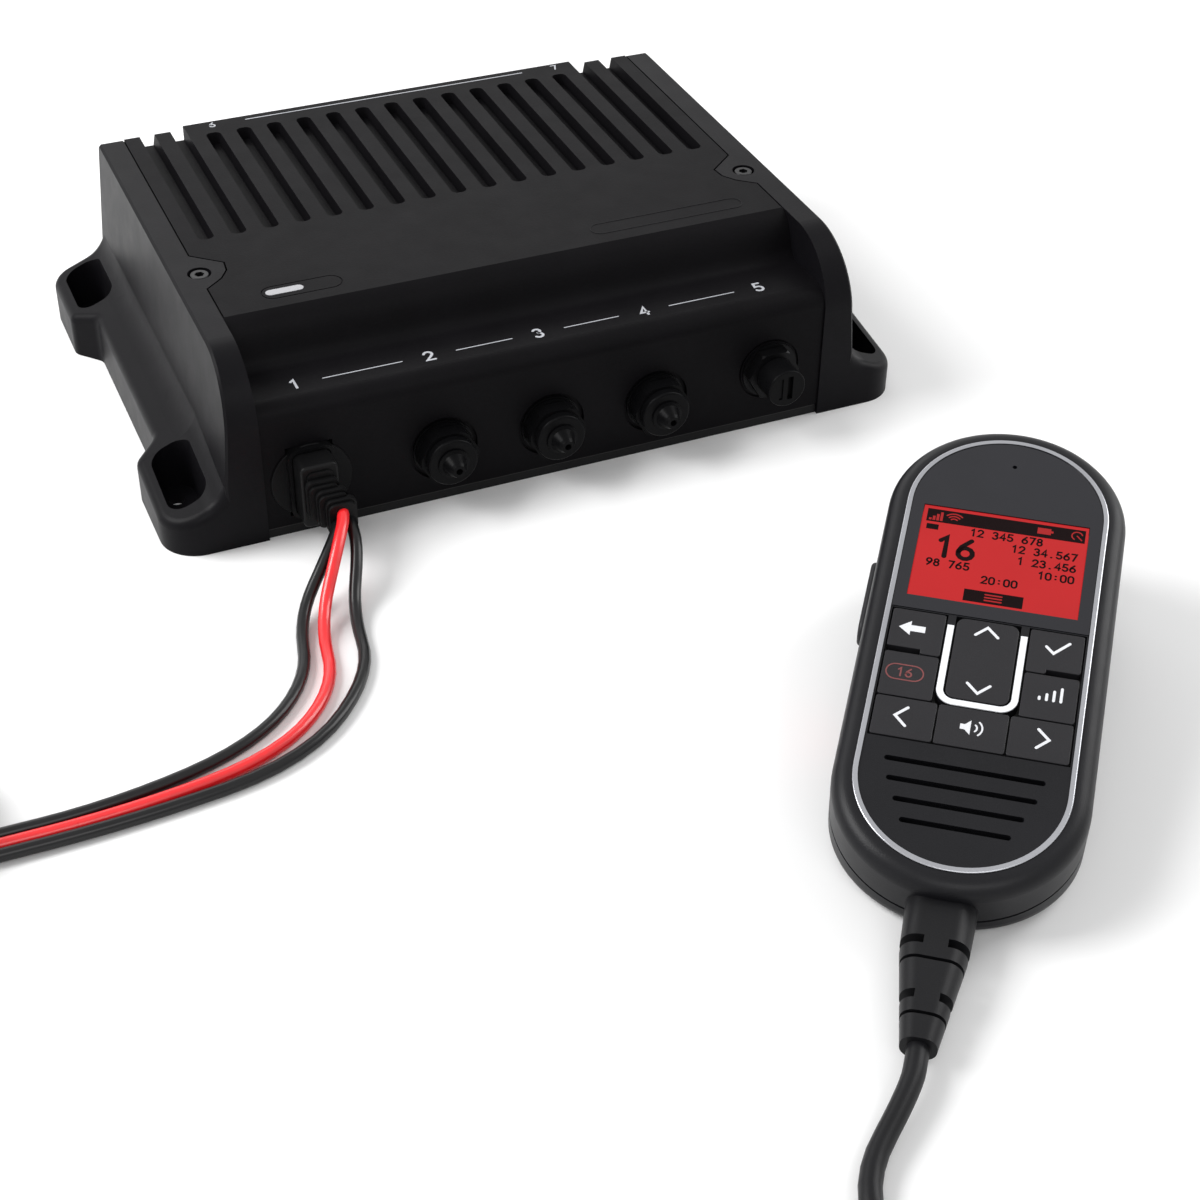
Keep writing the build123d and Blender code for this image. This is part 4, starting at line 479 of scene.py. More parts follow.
# ---------------------------------------------------------------- places
HANDSET_ORIGIN = Vector((61.5, -263.5, 38.85)) * MM
HANDSET_HEADING = 37.0
HANDSET_TILT = 12.5
HANDSET_TURN = (Matrix.Rotation(math.radians(-HANDSET_HEADING), 4, "Z")
                @ Matrix.Rotation(math.radians(HANDSET_TILT), 4, "X"))
HANDSET = Matrix.Translation(HANDSET_ORIGIN) @ HANDSET_TURN
SCREEN_DOT = 0.38 * MM
WORLD = Matrix.Identity(4)


def arc(centre: Point2, radius: float, start: float, end: float, steps: int = 8) -> list[Point2]:
    """Returns points along an arc, angles in degrees."""
    angles = [math.radians(start + (end - start) * k / steps) for k in range(steps + 1)]
    return [(centre[0] + radius * math.cos(a), centre[1] + radius * math.sin(a)) for a in angles]


def pill(centre: Point2, length: float, width: float, steps: int = 10) -> list[Point2]:
    """Draws a closed pill outline, long way along x.

    Args:
        centre: Its middle.
        length: Its length over the round ends.
        width: Its width.
        steps: Segments in each end.

    Returns:
        The outline's points.
    """
    x, y = centre
    reach = (length - width) / 2
    return (arc((x + reach, y), width / 2, -90, 90, steps)
            + arc((x - reach, y), width / 2, 90, 270, steps))


def flat_at(height: float, base: Matrix = WORLD) -> Matrix:
    """Returns a drawing plane that lies flat at a height, its units in millimetres."""
    return base @ Matrix.Translation((0.0, 0.0, height * MM)) @ Matrix.Scale(MM, 4)


class Maker:
    """Makes mesh pieces and hands them to their bodies. Drawings are in millimetres."""

    SHARP_ANGLE = 40
    MITRE_LIMIT = 0.5
    CAP_STEPS = 6

    def __init__(self, palette: Palette) -> None:
        """Keeps the palette that pieces are dressed from."""
        self.palette = palette

    def dress_nodes(self, finishes: Mapping[str, Sequence[str]]) -> None:
        """Gives CAD nodes their finishes.

        Args:
            finishes: The names of the nodes that have each finish.
        """
        for finish, nodes in finishes.items():
            for node in nodes:
                self.palette.dress(frame["nodes"][node], finish)
                log.info("%s, in %s", node, finish)

    def finish(self, name: str, mesh: bpy.types.Mesh, body: str, finish: str,
               smooth: bool = True) -> bpy.types.Object:
        """Links a mesh as a piece of a body.

        Args:
            name: The piece's name.
            mesh: Its mesh, in the row frame.
            body: The body it rides.
            finish: The name of its finish.
            smooth: Whether its faces are shaded smooth where they meet at small angles.

        Returns:
            The new object.
        """
        obj = bpy.data.objects.new(name, mesh)
        bpy.context.scene.collection.objects.link(obj)
        if smooth:
            mesh.shade_smooth()
            mesh.set_sharp_from_angle(angle=math.radians(self.SHARP_ANGLE))
        self.palette.dress(obj, finish)
        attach(obj, body)
        finish in SLOTS
        log.info("%s, in %s, on %s", name, finish, body)
        return obj

    def plates(self, name: str, outlines: Iterable[Sequence[Point2]], plane: Matrix,
               thickness: float, body: str, finish: str) -> bpy.types.Object:
        """Makes flat plates from closed outlines.

        Args:
            name: The piece's name.
            outlines: The outlines.
            plane: The plane they stand on.
            thickness: How far they are raised from it.
            body: The body they ride.
            finish: The name of their finish.

        Returns:
            The new object.
        """
        bm = bmesh.new()
        for outline in outlines:
            self._prism(bm, outline, thickness)
        bmesh.ops.transform(bm, matrix=plane, verts=bm.verts)
        bmesh.ops.recalc_face_normals(bm, faces=bm.faces)
        return self.finish(name, self.to_mesh(bm, name), body, finish, smooth=False)

    def strokes(self, name: str, lines: Iterable[Sequence[Point2]], width: float, plane: Matrix,
                body: str, finish: str, height: float = 0.06,
                closed: bool = False) -> bpy.types.Object:
        """Draws round-ended strokes on a plane.

        Args:
            name: The piece's name.
            lines: The strokes' middle lines.
            width: Their width.
            plane: The plane they stand on.
            body: The body they ride.
            finish: The name of their finish.
            height: How far they are raised from the plane.
            closed: Whether each line ends where it starts.

        Returns:
            The new object.
        """
        bm = bmesh.new()
        for line in lines:
            self._stroke(bm, list(line), width / 2, height, closed)
        bmesh.ops.transform(bm, matrix=plane, verts=bm.verts)
        bmesh.ops.recalc_face_normals(bm, faces=bm.faces)
        return self.finish(name, self.to_mesh(bm, name), body, finish, smooth=False)

    @staticmethod
    def to_mesh(bm: bmesh.types.BMesh, name: str) -> bpy.types.Mesh:
        """Turns a bmesh into a mesh and frees it.

        Args:
            bm: The bmesh.
            name: The mesh's name.

        Returns:
            The new mesh.
        """
        mesh = bpy.data.meshes.new(name)
        bm.to_mesh(mesh)
        bm.free()
        return mesh

    @staticmethod
    def _stroke(bm: bmesh.types.BMesh, line: list[Point2], half: float, height: float,
                closed: bool) -> None:
        """Adds one stroke: a mitred outline with round ends, extruded upwards.

        Args:
            bm: The bmesh it is added to.
            line: Its middle line.
            half: Half its width.
            height: How far it is raised.
            closed: Whether the line ends where it starts.
        """
        count = len(line)
        left, right = [], []
        for k, (x, y) in enumerate(line):
            before = Vector(line[(k - 1) % count]) if closed or k > 0 else None
            after = Vector(line[(k + 1) % count]) if closed or k < count - 1 else None
            here = Vector((x, y))
            into = (here - before if before is not None else after - here).normalized()
            out = (after - here).normalized() if after is not None else into
            side_in = Vector((-into.y, into.x))
            side_out = Vector((-out.y, out.x))
            mitre = (side_in + side_out).normalized()
            reach = half / max(Maker.MITRE_LIMIT, mitre.dot(side_in))
            left.append(here + mitre * reach)
            right.append(here - mitre * reach)
        if closed:
            for k in range(count):
                after = (k + 1) % count
                Maker._prism(bm, (left[k], left[after], right[after], right[k]), height)
            return
        first = Vector(line[0]) - Vector(line[1])
        last = Vector(line[-1]) - Vector(line[-2])
        start_angle = math.degrees(math.atan2(first.y, first.x))
        end_angle = math.degrees(math.atan2(last.y, last.x))
        end_cap = arc(line[-1], half, end_angle + 90, end_angle - 90, Maker.CAP_STEPS)
        start_cap = arc(line[0], half, start_angle + 90, start_angle - 90, Maker.CAP_STEPS)
        Maker._prism(bm, [*left, *end_cap, *right[::-1], *start_cap], height)

    @staticmethod
    def _prism(bm: bmesh.types.BMesh, outline: Sequence[Vector | Point2], height: float) -> None:
        """Adds a flat outline raised to a height.

        Args:
            bm: The bmesh it is added to.
            outline: The outline's corners.
            height: How far it is raised.
        """
        low, high = ([bm.verts.new((corner[0], corner[1], z)) for corner in outline]
                     for z in (0.0, height))
        bm.faces.new(low)
        bm.faces.new(high)
        for k in range(len(low)):
            bm.faces.new((low[k - 1], low[k], high[k], high[k - 1]))


# ---------------------------------------------------------------- figures
class Figures:
    """Plain digits drawn with strokes, one unit high."""

    WIDTH = 0.62
    GAP = 0.22
    STROKES: dict[str, list[list[Point2]]] = {
        "0": [arc((0.28, 0.72), 0.28, 0, 180, 6) + arc((0.28, 0.28), 0.28, 180, 360, 6)
              + [(0.56, 0.72)]],
        "1": [[(0.12, 0.8), (0.34, 1.0), (0.34, 0.0)]],
        "2": [arc((0.28, 0.72), 0.28, 165, -35, 7) + [(0.02, 0.0), (0.58, 0.0)]],
        "3": [arc((0.27, 0.75), 0.25, 150, -80, 7), arc((0.27, 0.27), 0.28, 85, -150, 8)],
        "4": [[(0.44, 0.0), (0.44, 1.0), (0.02, 0.3), (0.58, 0.3)]],
        "5": [[(0.52, 1.0), (0.12, 1.0), (0.07, 0.56)] + arc((0.28, 0.3), 0.29, 100, -150, 8)],
        "6": [[(0.46, 0.98), (0.12, 0.62), (0.02, 0.38)] + arc((0.29, 0.29), 0.28, 170, 530, 12)],
        "7": [[(0.02, 1.0), (0.56, 1.0), (0.2, 0.0)]],
        "8": [arc((0.28, 0.75), 0.23, -90, 270, 10), arc((0.28, 0.26), 0.27, 90, 450, 10)],
        "9": [[(0.12, 0.02), (0.46, 0.38), (0.56, 0.62)] + arc((0.29, 0.71), 0.28, -10, 350, 12)],
        ":": [[(0.24, 0.7), (0.3, 0.7)], [(0.24, 0.25), (0.3, 0.25)]],
        ".": [[(0.24, 0.03), (0.3, 0.03)]],
        " ": [],
    }

    @classmethod
    def lay_out(cls, figures: str, height: float, middle: Point2) -> list[list[Point2]]:
        """Lays out a row of figures, centred on a point.

        Args:
            figures: The digits and signs.
            height: Their height.
            middle: The row's centre.

        Returns:
            The strokes, as lists of points.
        """
        pitch = (cls.WIDTH + cls.GAP) * height
        width = pitch * len(figures) - cls.GAP * height
        left = middle[0] - width / 2
        low = middle[1] - height / 2
        lines = []
        for index, figure in enumerate(figures):
            for stroke in cls.STROKES[figure]:
                lines.append([(left + index * pitch + x * height, low + y * height)
                              for x, y in stroke])
        return lines


# ---------------------------------------------------------------- cords
@dataclass(frozen=True)
class Coil:
    """A put-away coil, wound clockwise seen from above.

    Attributes:
        centre: Its centre on the surface.
        radius: Radius of the cord's own line.
        entry: Angle of the point where the cord comes in.
        turns: Number of turns.
        base: Height of the first turn's line at the entry.
        pitch: Rise of one turn.
        lift: Extra rise in the first turn, so that other cords pass under it.
    """

    centre: Point2
    radius: float
    entry: float
    turns: float
    base: float
    pitch: float
    lift: float = 0.0

    STEPS = 24

    def points(self) -> list[Point3]:
        """Winds the coil.

        The drawn curve stays inside its control points, so these stand outside the coil's radius.

        Returns:
            The control points, whose smooth curve has the coil's radius.
        """
        steps = round(self.STEPS * self.turns)
        swell = 1 / (0.75 + 0.25 * math.cos(2 * math.pi / self.STEPS))
        found = []
        for k in range(1, steps + 1):
            share = k / self.STEPS
            angle = math.radians(self.entry) - 2 * math.pi * share
            ease = min(1.0, share)
            height = self.base + self.pitch * share + self.lift * ease * ease * (3 - 2 * ease)
            found.append((self.centre[0] + self.radius * swell * math.cos(angle),
                          self.centre[1] + self.radius * swell * math.sin(angle), height))
        return found


class Cord:
    """A round cord drawn as a smooth curve that follows its route's control points."""

    FINENESS = 6
    ORDER = 3

    def __init__(self, name: str, diameter: float, points: Sequence[Point3]) -> None:
        """Keeps what the cord is drawn from.

        Args:
            name: The cord's name.
            diameter: Its diameter.
            points: Its control points.
        """
        self.name = name
        self.diameter = diameter
        self.points = [Vector(p) for p in points]

    def draw(self, palette: Palette, finish: str, body: str) -> bpy.types.Object:
        """Makes the curve as a piece of a body.

        Args:
            palette: The palette it is dressed from.
            finish: The name of its finish.
            body: The body it rides.

        Returns:
            The curve object.
        """
        data = bpy.data.curves.new(self.name, "CURVE")
        data.dimensions = "3D"
        data.bevel_depth = self.diameter / 2
        data.bevel_resolution = self.FINENESS
        data.resolution_u = self.FINENESS
        data.use_fill_caps = True
        spline = data.splines.new("NURBS")
        spline.points.add(len(self.points) - 1)
        for point, place in zip(spline.points, self.points):
            point.co = (*place, 1.0)
        spline.order_u = self.ORDER
        spline.use_endpoint_u = True
        obj = bpy.data.objects.new(self.name, data)
        bpy.context.scene.collection.objects.link(obj)
        data.materials.append(palette[finish])
        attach(obj, body)
        log.info("%s, in %s, on %s", self.name, finish, body)
        return obj

    def end_direction(self) -> Vector:
        """Returns the way the cord points at its far end."""
        return (self.points[-1] - self.points[-2]).normalized()


def in_metres(points: Iterable[Point3]) -> list[Point3]:
    """Returns points given in millimetres as metres."""
    return [(x * MM, y * MM, z * MM) for x, y, z in points]


# ---------------------------------------------------------------- sub-assemblies
@dataclass
class Transceiver:
    """The black box: its finishes and the markings on it. Sizes are in millimetres."""

    maker: Maker
    body: str = "transceiver"
    deck: float = 65.5
    shelf: float = 50.0
    shelf_y: float = -75.5
    ports: tuple[float, ...] = (-86.0, -39.8, -1.0, 37.9, 81.5)
    port_figure: float = 5.0
    port_figure_line: float = 0.9
    port_line: float = 0.42
    port_line_inset: float = 9.5
    rear_y: float = 86.8
    rear_ports: Point2 = (-68.0, 71.0)
    rear_figure: float = 3.4
    rear_figure_line: float = 0.6
    rear_line: float = 0.5
    rear_line_insets: Point2 = (13.0, 14.0)
    plate_centre: Point2 = (61.0, -42.5)
    plate_size: Point2 = (58.0, 7.0)
    plate_line: float = 0.25
    plate_rise: float = 0.12
    finishes: dict[str, tuple[str, ...]] = field(default_factory=lambda: {
        "housing_coat": ("main_housing",), "frame_coat": ("left_end_frame", "right_end_frame"),
        "base_coat": ("base_plate",), "black_screw": ("top_screws",),
        "steel_screw": ("base_screws", "board_screws"), "seal_rubber": ("base_gasket",),
        "lens_smoke": ("status_lens",), "board_green": ("main_circuit_board", "connector_board"),
        "chip_black": ("rf_power_module",), "shield_tin": ("rf_shield_can",),
        "connector_metal": ("handset_socket_1", "handset_socket_2", "handset_socket_3",
                            "network_socket"),
        "socket_plastic": ("power_socket",), "aerial_metal": ("antenna_socket", "gps_socket"),
        "cap_plastic": ("port_cap_1", "port_cap_2", "port_cap_3", "network_cap")})

    def build(self) -> None:
        """Dresses the nodes and draws the markings."""
        self.maker.dress_nodes(self.finishes)
        self._shelf_marks()
        self._rear_marks()
        self._plate_outline()

    def _figures(self, name: str, places: Iterable[Point2], first: int, height: float,
                 width: float, plane: Matrix) -> None:
        """Draws counting numbers at places.

        Args:
            name: The piece's name.
            places: Where the numbers go.
            first: The first number.
            height: The figures' height.
            width: The strokes' width.
            plane: The plane they stand on.
        """
        lines = [line for number, place in enumerate(places, start=first)
                 for line in Figures.lay_out(str(number), height, place)]
        self.maker.strokes(name, lines, width, plane, self.body, "panel_ink")

    def _shelf_marks(self) -> None:
        """Numbers the ports along the shelf, with lines between."""
        plane = flat_at(self.shelf)
        self._figures("port_numbers", [(x, self.shelf_y) for x in self.ports], 1,
                      self.port_figure, self.port_figure_line, plane)
        inset = self.port_line_inset
        dashes = [[(a + inset, self.shelf_y), (b - inset, self.shelf_y)]
                  for a, b in zip(self.ports, self.ports[1:])]
        self.maker.strokes("port_lines", dashes, self.port_line, plane, self.body, "panel_ink")

    def _rear_marks(self) -> None:
        """Numbers the two rear sockets on the deck's edge, with a line between."""
        plane = flat_at(self.deck)
        self._figures("rear_numbers", [(x, self.rear_y) for x in self.rear_ports],
                      1 + len(self.ports), self.rear_figure, self.rear_figure_line, plane)
        line = [(self.rear_ports[0] + self.rear_line_insets[0], self.rear_y),
                (self.rear_ports[1] - self.rear_line_insets[1], self.rear_y)]
        self.maker.strokes("rear_line", [line], self.rear_line, plane, self.body, "panel_ink")

    def _plate_outline(self) -> None:
        """Draws the bare plate's outline on the deck."""
        self.maker.strokes("plate_outline", [pill(self.plate_centre, *self.plate_size)],
                           self.plate_line, flat_at(self.deck), self.body, "frame_coat",
                           height=self.plate_rise, closed=True)


@dataclass(frozen=True)
class Lead:
    """One supply lead.

    Attributes:
        node: The CAD node of its run.
        finish: The name of its finish.
        length: Its length in metres. Not used.
        column: Its column in the coil: -1 inside, 0 in the middle, 1 outside.
        last_corner: Where along x its route turns to the coil, in millimetres.
        route: Its first control points, in millimetres.
    """

    node: str
    finish: str
    length: float
    column: int
    last_corner: float
    route: tuple[Point3, ...]


@dataclass
class SupplyLead:
    """The plug on the supply port, its three leads and their coil. Sizes are in millimetres."""

    maker: Maker
    body: str = "supply_lead"
    diameter: float = 4.0
    floor: float = 2.1
    coil_centre: Point2 = (-247.0, -178.0)
    coil_radius: float = 22.6
    column_gap: float = 0.1
    turns: float = 4.6
    base: float = 3.0
    pitch: float = 4.1
    lift: float = 0.6
    run_in: Point2 = (22.0, 1.5)
    tip_length: float = 9.0
    tip_radius: float = 1.15
    tip_root: float = 1.5
    leads: tuple[Lead, ...] = (
        Lead("supply_lead_black_1", "lead_black", 0.745, -1, -180.0,
             ((-84.2, -107.0, 15.7), (-84.2, -109.75, 15.7), (-91.2, -119.5, 13.2),
              (-106.0, -134.0, 2.1), (-112.0, -164.0, 2.1), (-136.0, -187.0, 2.1))),
        Lead("supply_lead_red", "lead_red", 0.875, 0, -178.0,
             ((-82.0, -107.0, 19.5), (-82.0, -109.75, 19.5), (-88.0, -121.0, 16.5),
              (-101.0, -140.0, 2.1), (-105.0, -170.0, 2.1), (-130.0, -194.0, 2.1))),
        Lead("supply_lead_black_2", "lead_black", 1.0, 1, -177.0,
             ((-79.8, -107.0, 15.7), (-79.8, -109.75, 15.7), (-81.5, -121.0, 13.5),
              (-89.5, -138.0, 2.1), (-93.0, -168.0, 2.1), (-123.0, -199.0, 2.1))))

    SIDES = 18
    STEPS = 16
    STRANDS = 6
    STRAND_DEPTH = 0.09
    TWIST = 9.0
    TAPER = 0.35
    TAPER_FROM = 0.85
    TAPER_SPAN = 0.15

    def build(self) -> None:
        """Dresses the plug and tie, and draws the leads."""
        self.maker.dress_nodes({"plug_rubber": ("power_plug",), "tie_nylon": ("supply_lead_tie",)})
        drawn = []
        for lead in self.leads:
            cord = Cord(f"{lead.node}_run", self.diameter * MM, self._points(lead))
            obj = cord.draw(self.maker.palette, lead.finish, self.body)
            drawn.append((obj, cord, self._tip(f"{lead.node}_tip", cord), lead))
        for obj, cord, tip, lead in drawn:
            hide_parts(lead.node, "supply_lead_coil")

    def _points(self, lead: Lead) -> list[Point3]:
        """Finds a lead's whole route, from its plug to its end in the coil.

        Args:
            lead: The lead.

        Returns:
            Its control points in metres.
        """
        radius = self.coil_radius + lead.column * (self.diameter + self.column_gap)
        centre_x, centre_y = self.coil_centre
        line_y = centre_y - radius
        coil = Coil((centre_x * MM, centre_y * MM), radius * MM, -90.0, self.turns,
                    self.base * MM, self.pitch * MM, self.lift * MM)
        straight = ((lead.last_corner, line_y, self.floor),
                    *((centre_x + before, line_y, self.base) for before in self.run_in))
        return in_metres(lead.route + straight) + coil.points()

    def _tip(self, name: str, cord: Cord) -> bpy.types.Object:
        """Makes a tinned, twisted wire end that sticks out of a lead.

        Args:
            name: The piece's name.
            cord: The cord whose end it stands on.

        Returns:
            The new object.
        """
        bm = bmesh.new()
        rings = []
        for k in range(self.STEPS + 1):
            share = k / self.STEPS
            narrowing = self.TAPER * max(0.0, share - self.TAPER_FROM) / self.TAPER_SPAN
            size = self.tip_radius * MM * (1.0 - narrowing)
            rise = share * (self.tip_length * MM) - self.tip_root * MM
            ring = []
            for side in range(self.SIDES):
                angle = 2 * math.pi * side / self.SIDES
                wave = math.cos(self.STRANDS * angle + self.TWIST * share)
                strand = 1.0 + self.STRAND_DEPTH * wave
                ring.append(bm.verts.new((size * strand * math.cos(angle),
                                          size * strand * math.sin(angle), rise)))
            rings.append(ring)
        for low, high in zip(rings, rings[1:]):
            for side in range(self.SIDES):
                after = (side + 1) % self.SIDES
                bm.faces.new((low[side], low[after], high[after], high[side]))
        bm.faces.new(rings[0][::-1])
        bm.faces.new(rings[-1])
        turn = cord.end_direction().to_track_quat("Z", "Y").to_matrix().to_4x4()
        bmesh.ops.transform(bm, matrix=Matrix.Translation(cord.points[-1]) @ turn, verts=bm.verts)
        return self.maker.finish(name, Maker.to_mesh(bm, name), self.body, "tinned_copper")


@dataclass
class HandsetCord:
    """The handset's cord, its coil and its connector.

    Sizes are in millimetres, and the length in metres. Along x the route is measured from the
    coil's side, and the tail is measured from the coil's centre. The boot's axis starts at its root
    and droops from the handset's.
    """

    maker: Maker
    body: str = "handset"
    diameter: float = 6.0
    length: float = 0.57
    coil_centre: Point2 = (-82.0, -457.0)
    coil_radius: float = 33.0
    turns: float = 1.96
    base: float = 4.0
    pitch: float = 6.2
    boot_root: Point3 = (0.0, -83.0, -11.5)
    boot_droop: float = 8.5
    boot_reach: Point3 = (46.5, 50.0, 60.0)
    route: tuple[Point3, ...] = ((0.6, -394.7, 3.1), (0.0, -424.0, 3.2), (0.0, -440.0, 4.0),
                                 (0.0, -455.0, 4.0))
    tail: tuple[Point3, ...] = ((33.0, -11.6, 18.4), (16.6, -28.0, 23.0), (1.0, -28.0, 25.2),
                                (-3.0, -28.0, 25.2))

    def build(self) -> None:
        """Draws the cord and dresses its fittings."""
        self.maker.dress_nodes({
            "cord_rubber": ("cord_boot",), "tie_nylon": ("handset_cord_tie",),
            "plug_metal": ("handset_plug", "handset_plug_collar")})
        cord = Cord("handset_cord_run", self.diameter * MM, self._points())
        obj = cord.draw(self.maker.palette, "cord_rubber", self.body)
        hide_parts("handset_cord", "handset_cord_coil")

    def _points(self) -> list[Point3]:
        """Finds the whole route, from inside the boot's end to the plug.

        Returns:
            The control points in metres.
        """
        centre_x, centre_y = self.coil_centre
        side = centre_x + self.coil_radius
        root = HANDSET @ Matrix.Translation(in_metres([self.boot_root])[0]) @ Matrix.Rotation(
            math.radians(-self.boot_droop), 4, "X")
        start = [tuple(root @ Vector((0, -along * MM, 0))) for along in self.boot_reach]
        route = [(side + x, y, z) for x, y, z in self.route]
        coil = Coil((centre_x * MM, centre_y * MM), self.coil_radius * MM, 0.0, self.turns,
                    self.base * MM, self.pitch * MM)
        tail = [(centre_x + x, centre_y + y, z) for x, y, z in self.tail]
        return start + in_metres(route) + coil.points() + in_metres(tail)


@dataclass(frozen=True)
class Reading:
    """A row of figures on the screen.

    Attributes:
        figures: The digits and signs.
        x: The row's middle.
        below: How far its middle lies under the screen's upper edge.
    """

    figures: str
    x: float
    below: float


@dataclass
class Handset:
    """The handset: finishes, key symbols and the screen's picture.

    Sizes are in millimetres. The screen's blocks and signs are measured from its nearest edges.
    """

    maker: Maker
    body: str = "handset"
    finishes: dict[str, tuple[str, ...]] = field(default_factory=lambda: {
        "shell_plastic": ("handset_front_shell", "handset_back_shell"),
        "seal_rubber": ("handset_seal", "keypad_mat"), "trim_silver": ("trim_ring",),
        "window_glass": ("display_window",), "display_red": ("display_module",),
        "strip_white": ("nav_trim",), "board_green": ("handset_board",),
        "speaker_black": ("speaker", "microphone"), "steel_screw": ("handset_screws",),
        "stud_metal": ("hang_stud",), "flap_red": ("distress_flap", "distress_key"),
        "key_rubber": ("back_key", "channel_key", "ok_key", "output_level_key", "left_key",
                       "volume_key", "right_key", "nav_rocker", "talk_key")})
    key_top: float = 0.25
    key_film: float = 0.04
    mark_line: float = 0.85
    thin_line: float = 0.5
    chevron: tuple[Point2, ...] = ((-3.2, -1.5), (0.0, 1.7), (3.2, -1.5))
    rocker_marks: Point2 = (2.6, -18.2)
    side_keys: Point2 = (19.6, -32.0)
    arrow: tuple[Point2, ...] = ((-25.0, -0.2), (-21.6, 2.4), (-21.6, 0.9), (-17.4, 0.9),
                                 (-17.4, -1.3), (-21.6, -1.3), (-21.6, -2.8))
    tick: tuple[Point2, ...] = ((17.0, 0.9), (19.2, -1.3), (23.4, 3.1))
    channel: Point2 = (-20.9, -16.6)
    channel_figure: float = 2.9
    channel_ring: Point2 = (10.6, 5.4)
    ring_line: float = 0.4
    bar_foot: Point2 = (17.0, -18.2)
    bar_pitch: float = 2.0
    bar_rise: float = 1.3
    bar_cut: float = 0.6
    bars: int = 4
    bar_line: float = 0.8
    cone: tuple[Point2, ...] = ((-3.2, -31.2), (-1.9, -31.2), (-0.3, -29.6), (-0.3, -34.6),
                                (-1.9, -33.0), (-3.2, -33.0))
    wave_centre: Point2 = (0.0, -32.1)
    wave_radii: Point2 = (1.5, 3.0)
    wave_angle: float = 48

    screen: tuple[float, float, float, float] = (0.0, 30.6, 49.0, 36.0)
    screen_z: float = -0.1
    film: float = 0.03
    icon_film: float = 0.02
    status_bar: tuple[float, float, float, float] = (1.2, -0.8, -6.3, -1.2)
    soft_key_box: tuple[float, float, float, float] = (-8.6, 8.6, 0.9, 5.4)
    busy_flag: tuple[float, float, float, float] = (1.6, 5.2, -9.4, -7.3)
    steps: int = 4
    step_pitch: float = 1.1
    step_sides: Point2 = (1.9, 2.7)
    step_feet: Point2 = (5.7, 4.9)
    step_rise: float = 0.9
    fan_foot: Point2 = (9.4, 5.4)
    fan_radii: Point3 = (1.2, 2.2, 3.2)
    fan_angles: Point2 = (45.0, 135.0)
    fan_line: float = 0.45
    battery: tuple[Point2, ...] = ((9.6, 4.9), (13.6, 4.9), (13.6, 4.1), (14.3, 4.1), (14.3, 3.3),
                                   (13.6, 3.3), (13.6, 2.5), (9.6, 2.5))
    dish: Point3 = (21.3, 3.7, 1.6)
    dish_angles: Point2 = (20.0, 240.0)
    dish_foot: Point2 = (22.7, 5.2)
    dish_line: float = 0.4
    big: float = 7.6
    small: float = 2.6
    big_line: float = 0.2
    small_line: float = 0.22
    big_reading: Reading = Reading("16", -13.2, 15.6)
    readings: tuple[Reading, ...] = (
        Reading("12 345 678", 1.0, 8.4), Reading("12 34.567", 12.6, 12.4),
        Reading("1 23.456", 13.7, 16.8), Reading("10:00", 16.9, 21.2),
        Reading("98 765", -14.6, 22.2), Reading("20:00", 1.0, 26.2))
    menu: Point2 = (2.4, 3.15)
    menu_rises: Point3 = (-1.1, 0.0, 1.1)

    def build(self) -> None:
        """Dresses the nodes and draws every mark."""
        self.maker.dress_nodes(self.finishes)
        self._key_marks()
        self._screen_blocks()
        self._screen_icons()
        self._screen_figures()

    def _on_key(self, name: str, lines: Iterable[Sequence[Point2]], width: float, key: str,
                finish: str = "key_ink", closed: bool = False) -> None:
        """Draws strokes on a key's face."""
        self.maker.strokes(name, lines, width, flat_at(self.key_top, HANDSET), key, finish,
                           height=self.key_film, closed=closed)

    def _plate_on_key(self, name: str, outline: Sequence[Point2], key: str) -> None:
        """Draws a filled outline on a key's face."""
        self.maker.plates(name, [outline], flat_at(self.key_top, HANDSET), self.key_film, key,
                          "key_ink")

    def _key_marks(self) -> None:
        """Draws the keys' symbols."""
        up, down = self.rocker_marks
        side_x, side_y = self.side_keys
        for name, line, key in (
                ("up_mark", [(x, up + y) for x, y in self.chevron], "nav_rocker"),
                ("down_mark", [(x, down - y) for x, y in self.chevron], "nav_rocker"),
                ("left_mark", [(-side_x - y, side_y + x) for x, y in self.chevron], "left_key"),
                ("right_mark", [(side_x + y, side_y + x) for x, y in self.chevron], "right_key")):
            self._on_key(name, [line], self.mark_line, key)
        self._plate_on_key("back_mark", self.arrow, "back_key")
        self._on_key("tick_mark", [self.tick], self.mark_line, "ok_key")
        self._on_key("channel_figures", Figures.lay_out("16", self.channel_figure, self.channel),
                     self.thin_line, "channel_key", "key_red_ink")
        self._on_key("channel_ring", [pill(self.channel, *self.channel_ring)], self.ring_line,
                     "channel_key", "key_red_ink", True)
        foot_x, foot_y = self.bar_foot
        bars = [[(foot_x + self.bar_pitch * k, foot_y),
                 (foot_x + self.bar_pitch * k, foot_y + self.bar_rise * (k + 1) - self.bar_cut)]
                for k in range(self.bars)]
        self._on_key("level_bars", bars, self.bar_line, "output_level_key")
        self._plate_on_key("volume_cone", self.cone, "volume_key")
        waves = [arc(self.wave_centre, radius, -self.wave_angle, self.wave_angle, 6)
                 for radius in self.wave_radii]
        self._on_key("volume_waves", waves, self.thin_line, "volume_key")

    @property
    def _edges(self) -> tuple[float, float, float, float]:
        """Returns the screen's left, right, lower and upper edges."""
        x, y, width, height = self.screen
        return x - width / 2, x + width / 2, y - height / 2, y + height / 2

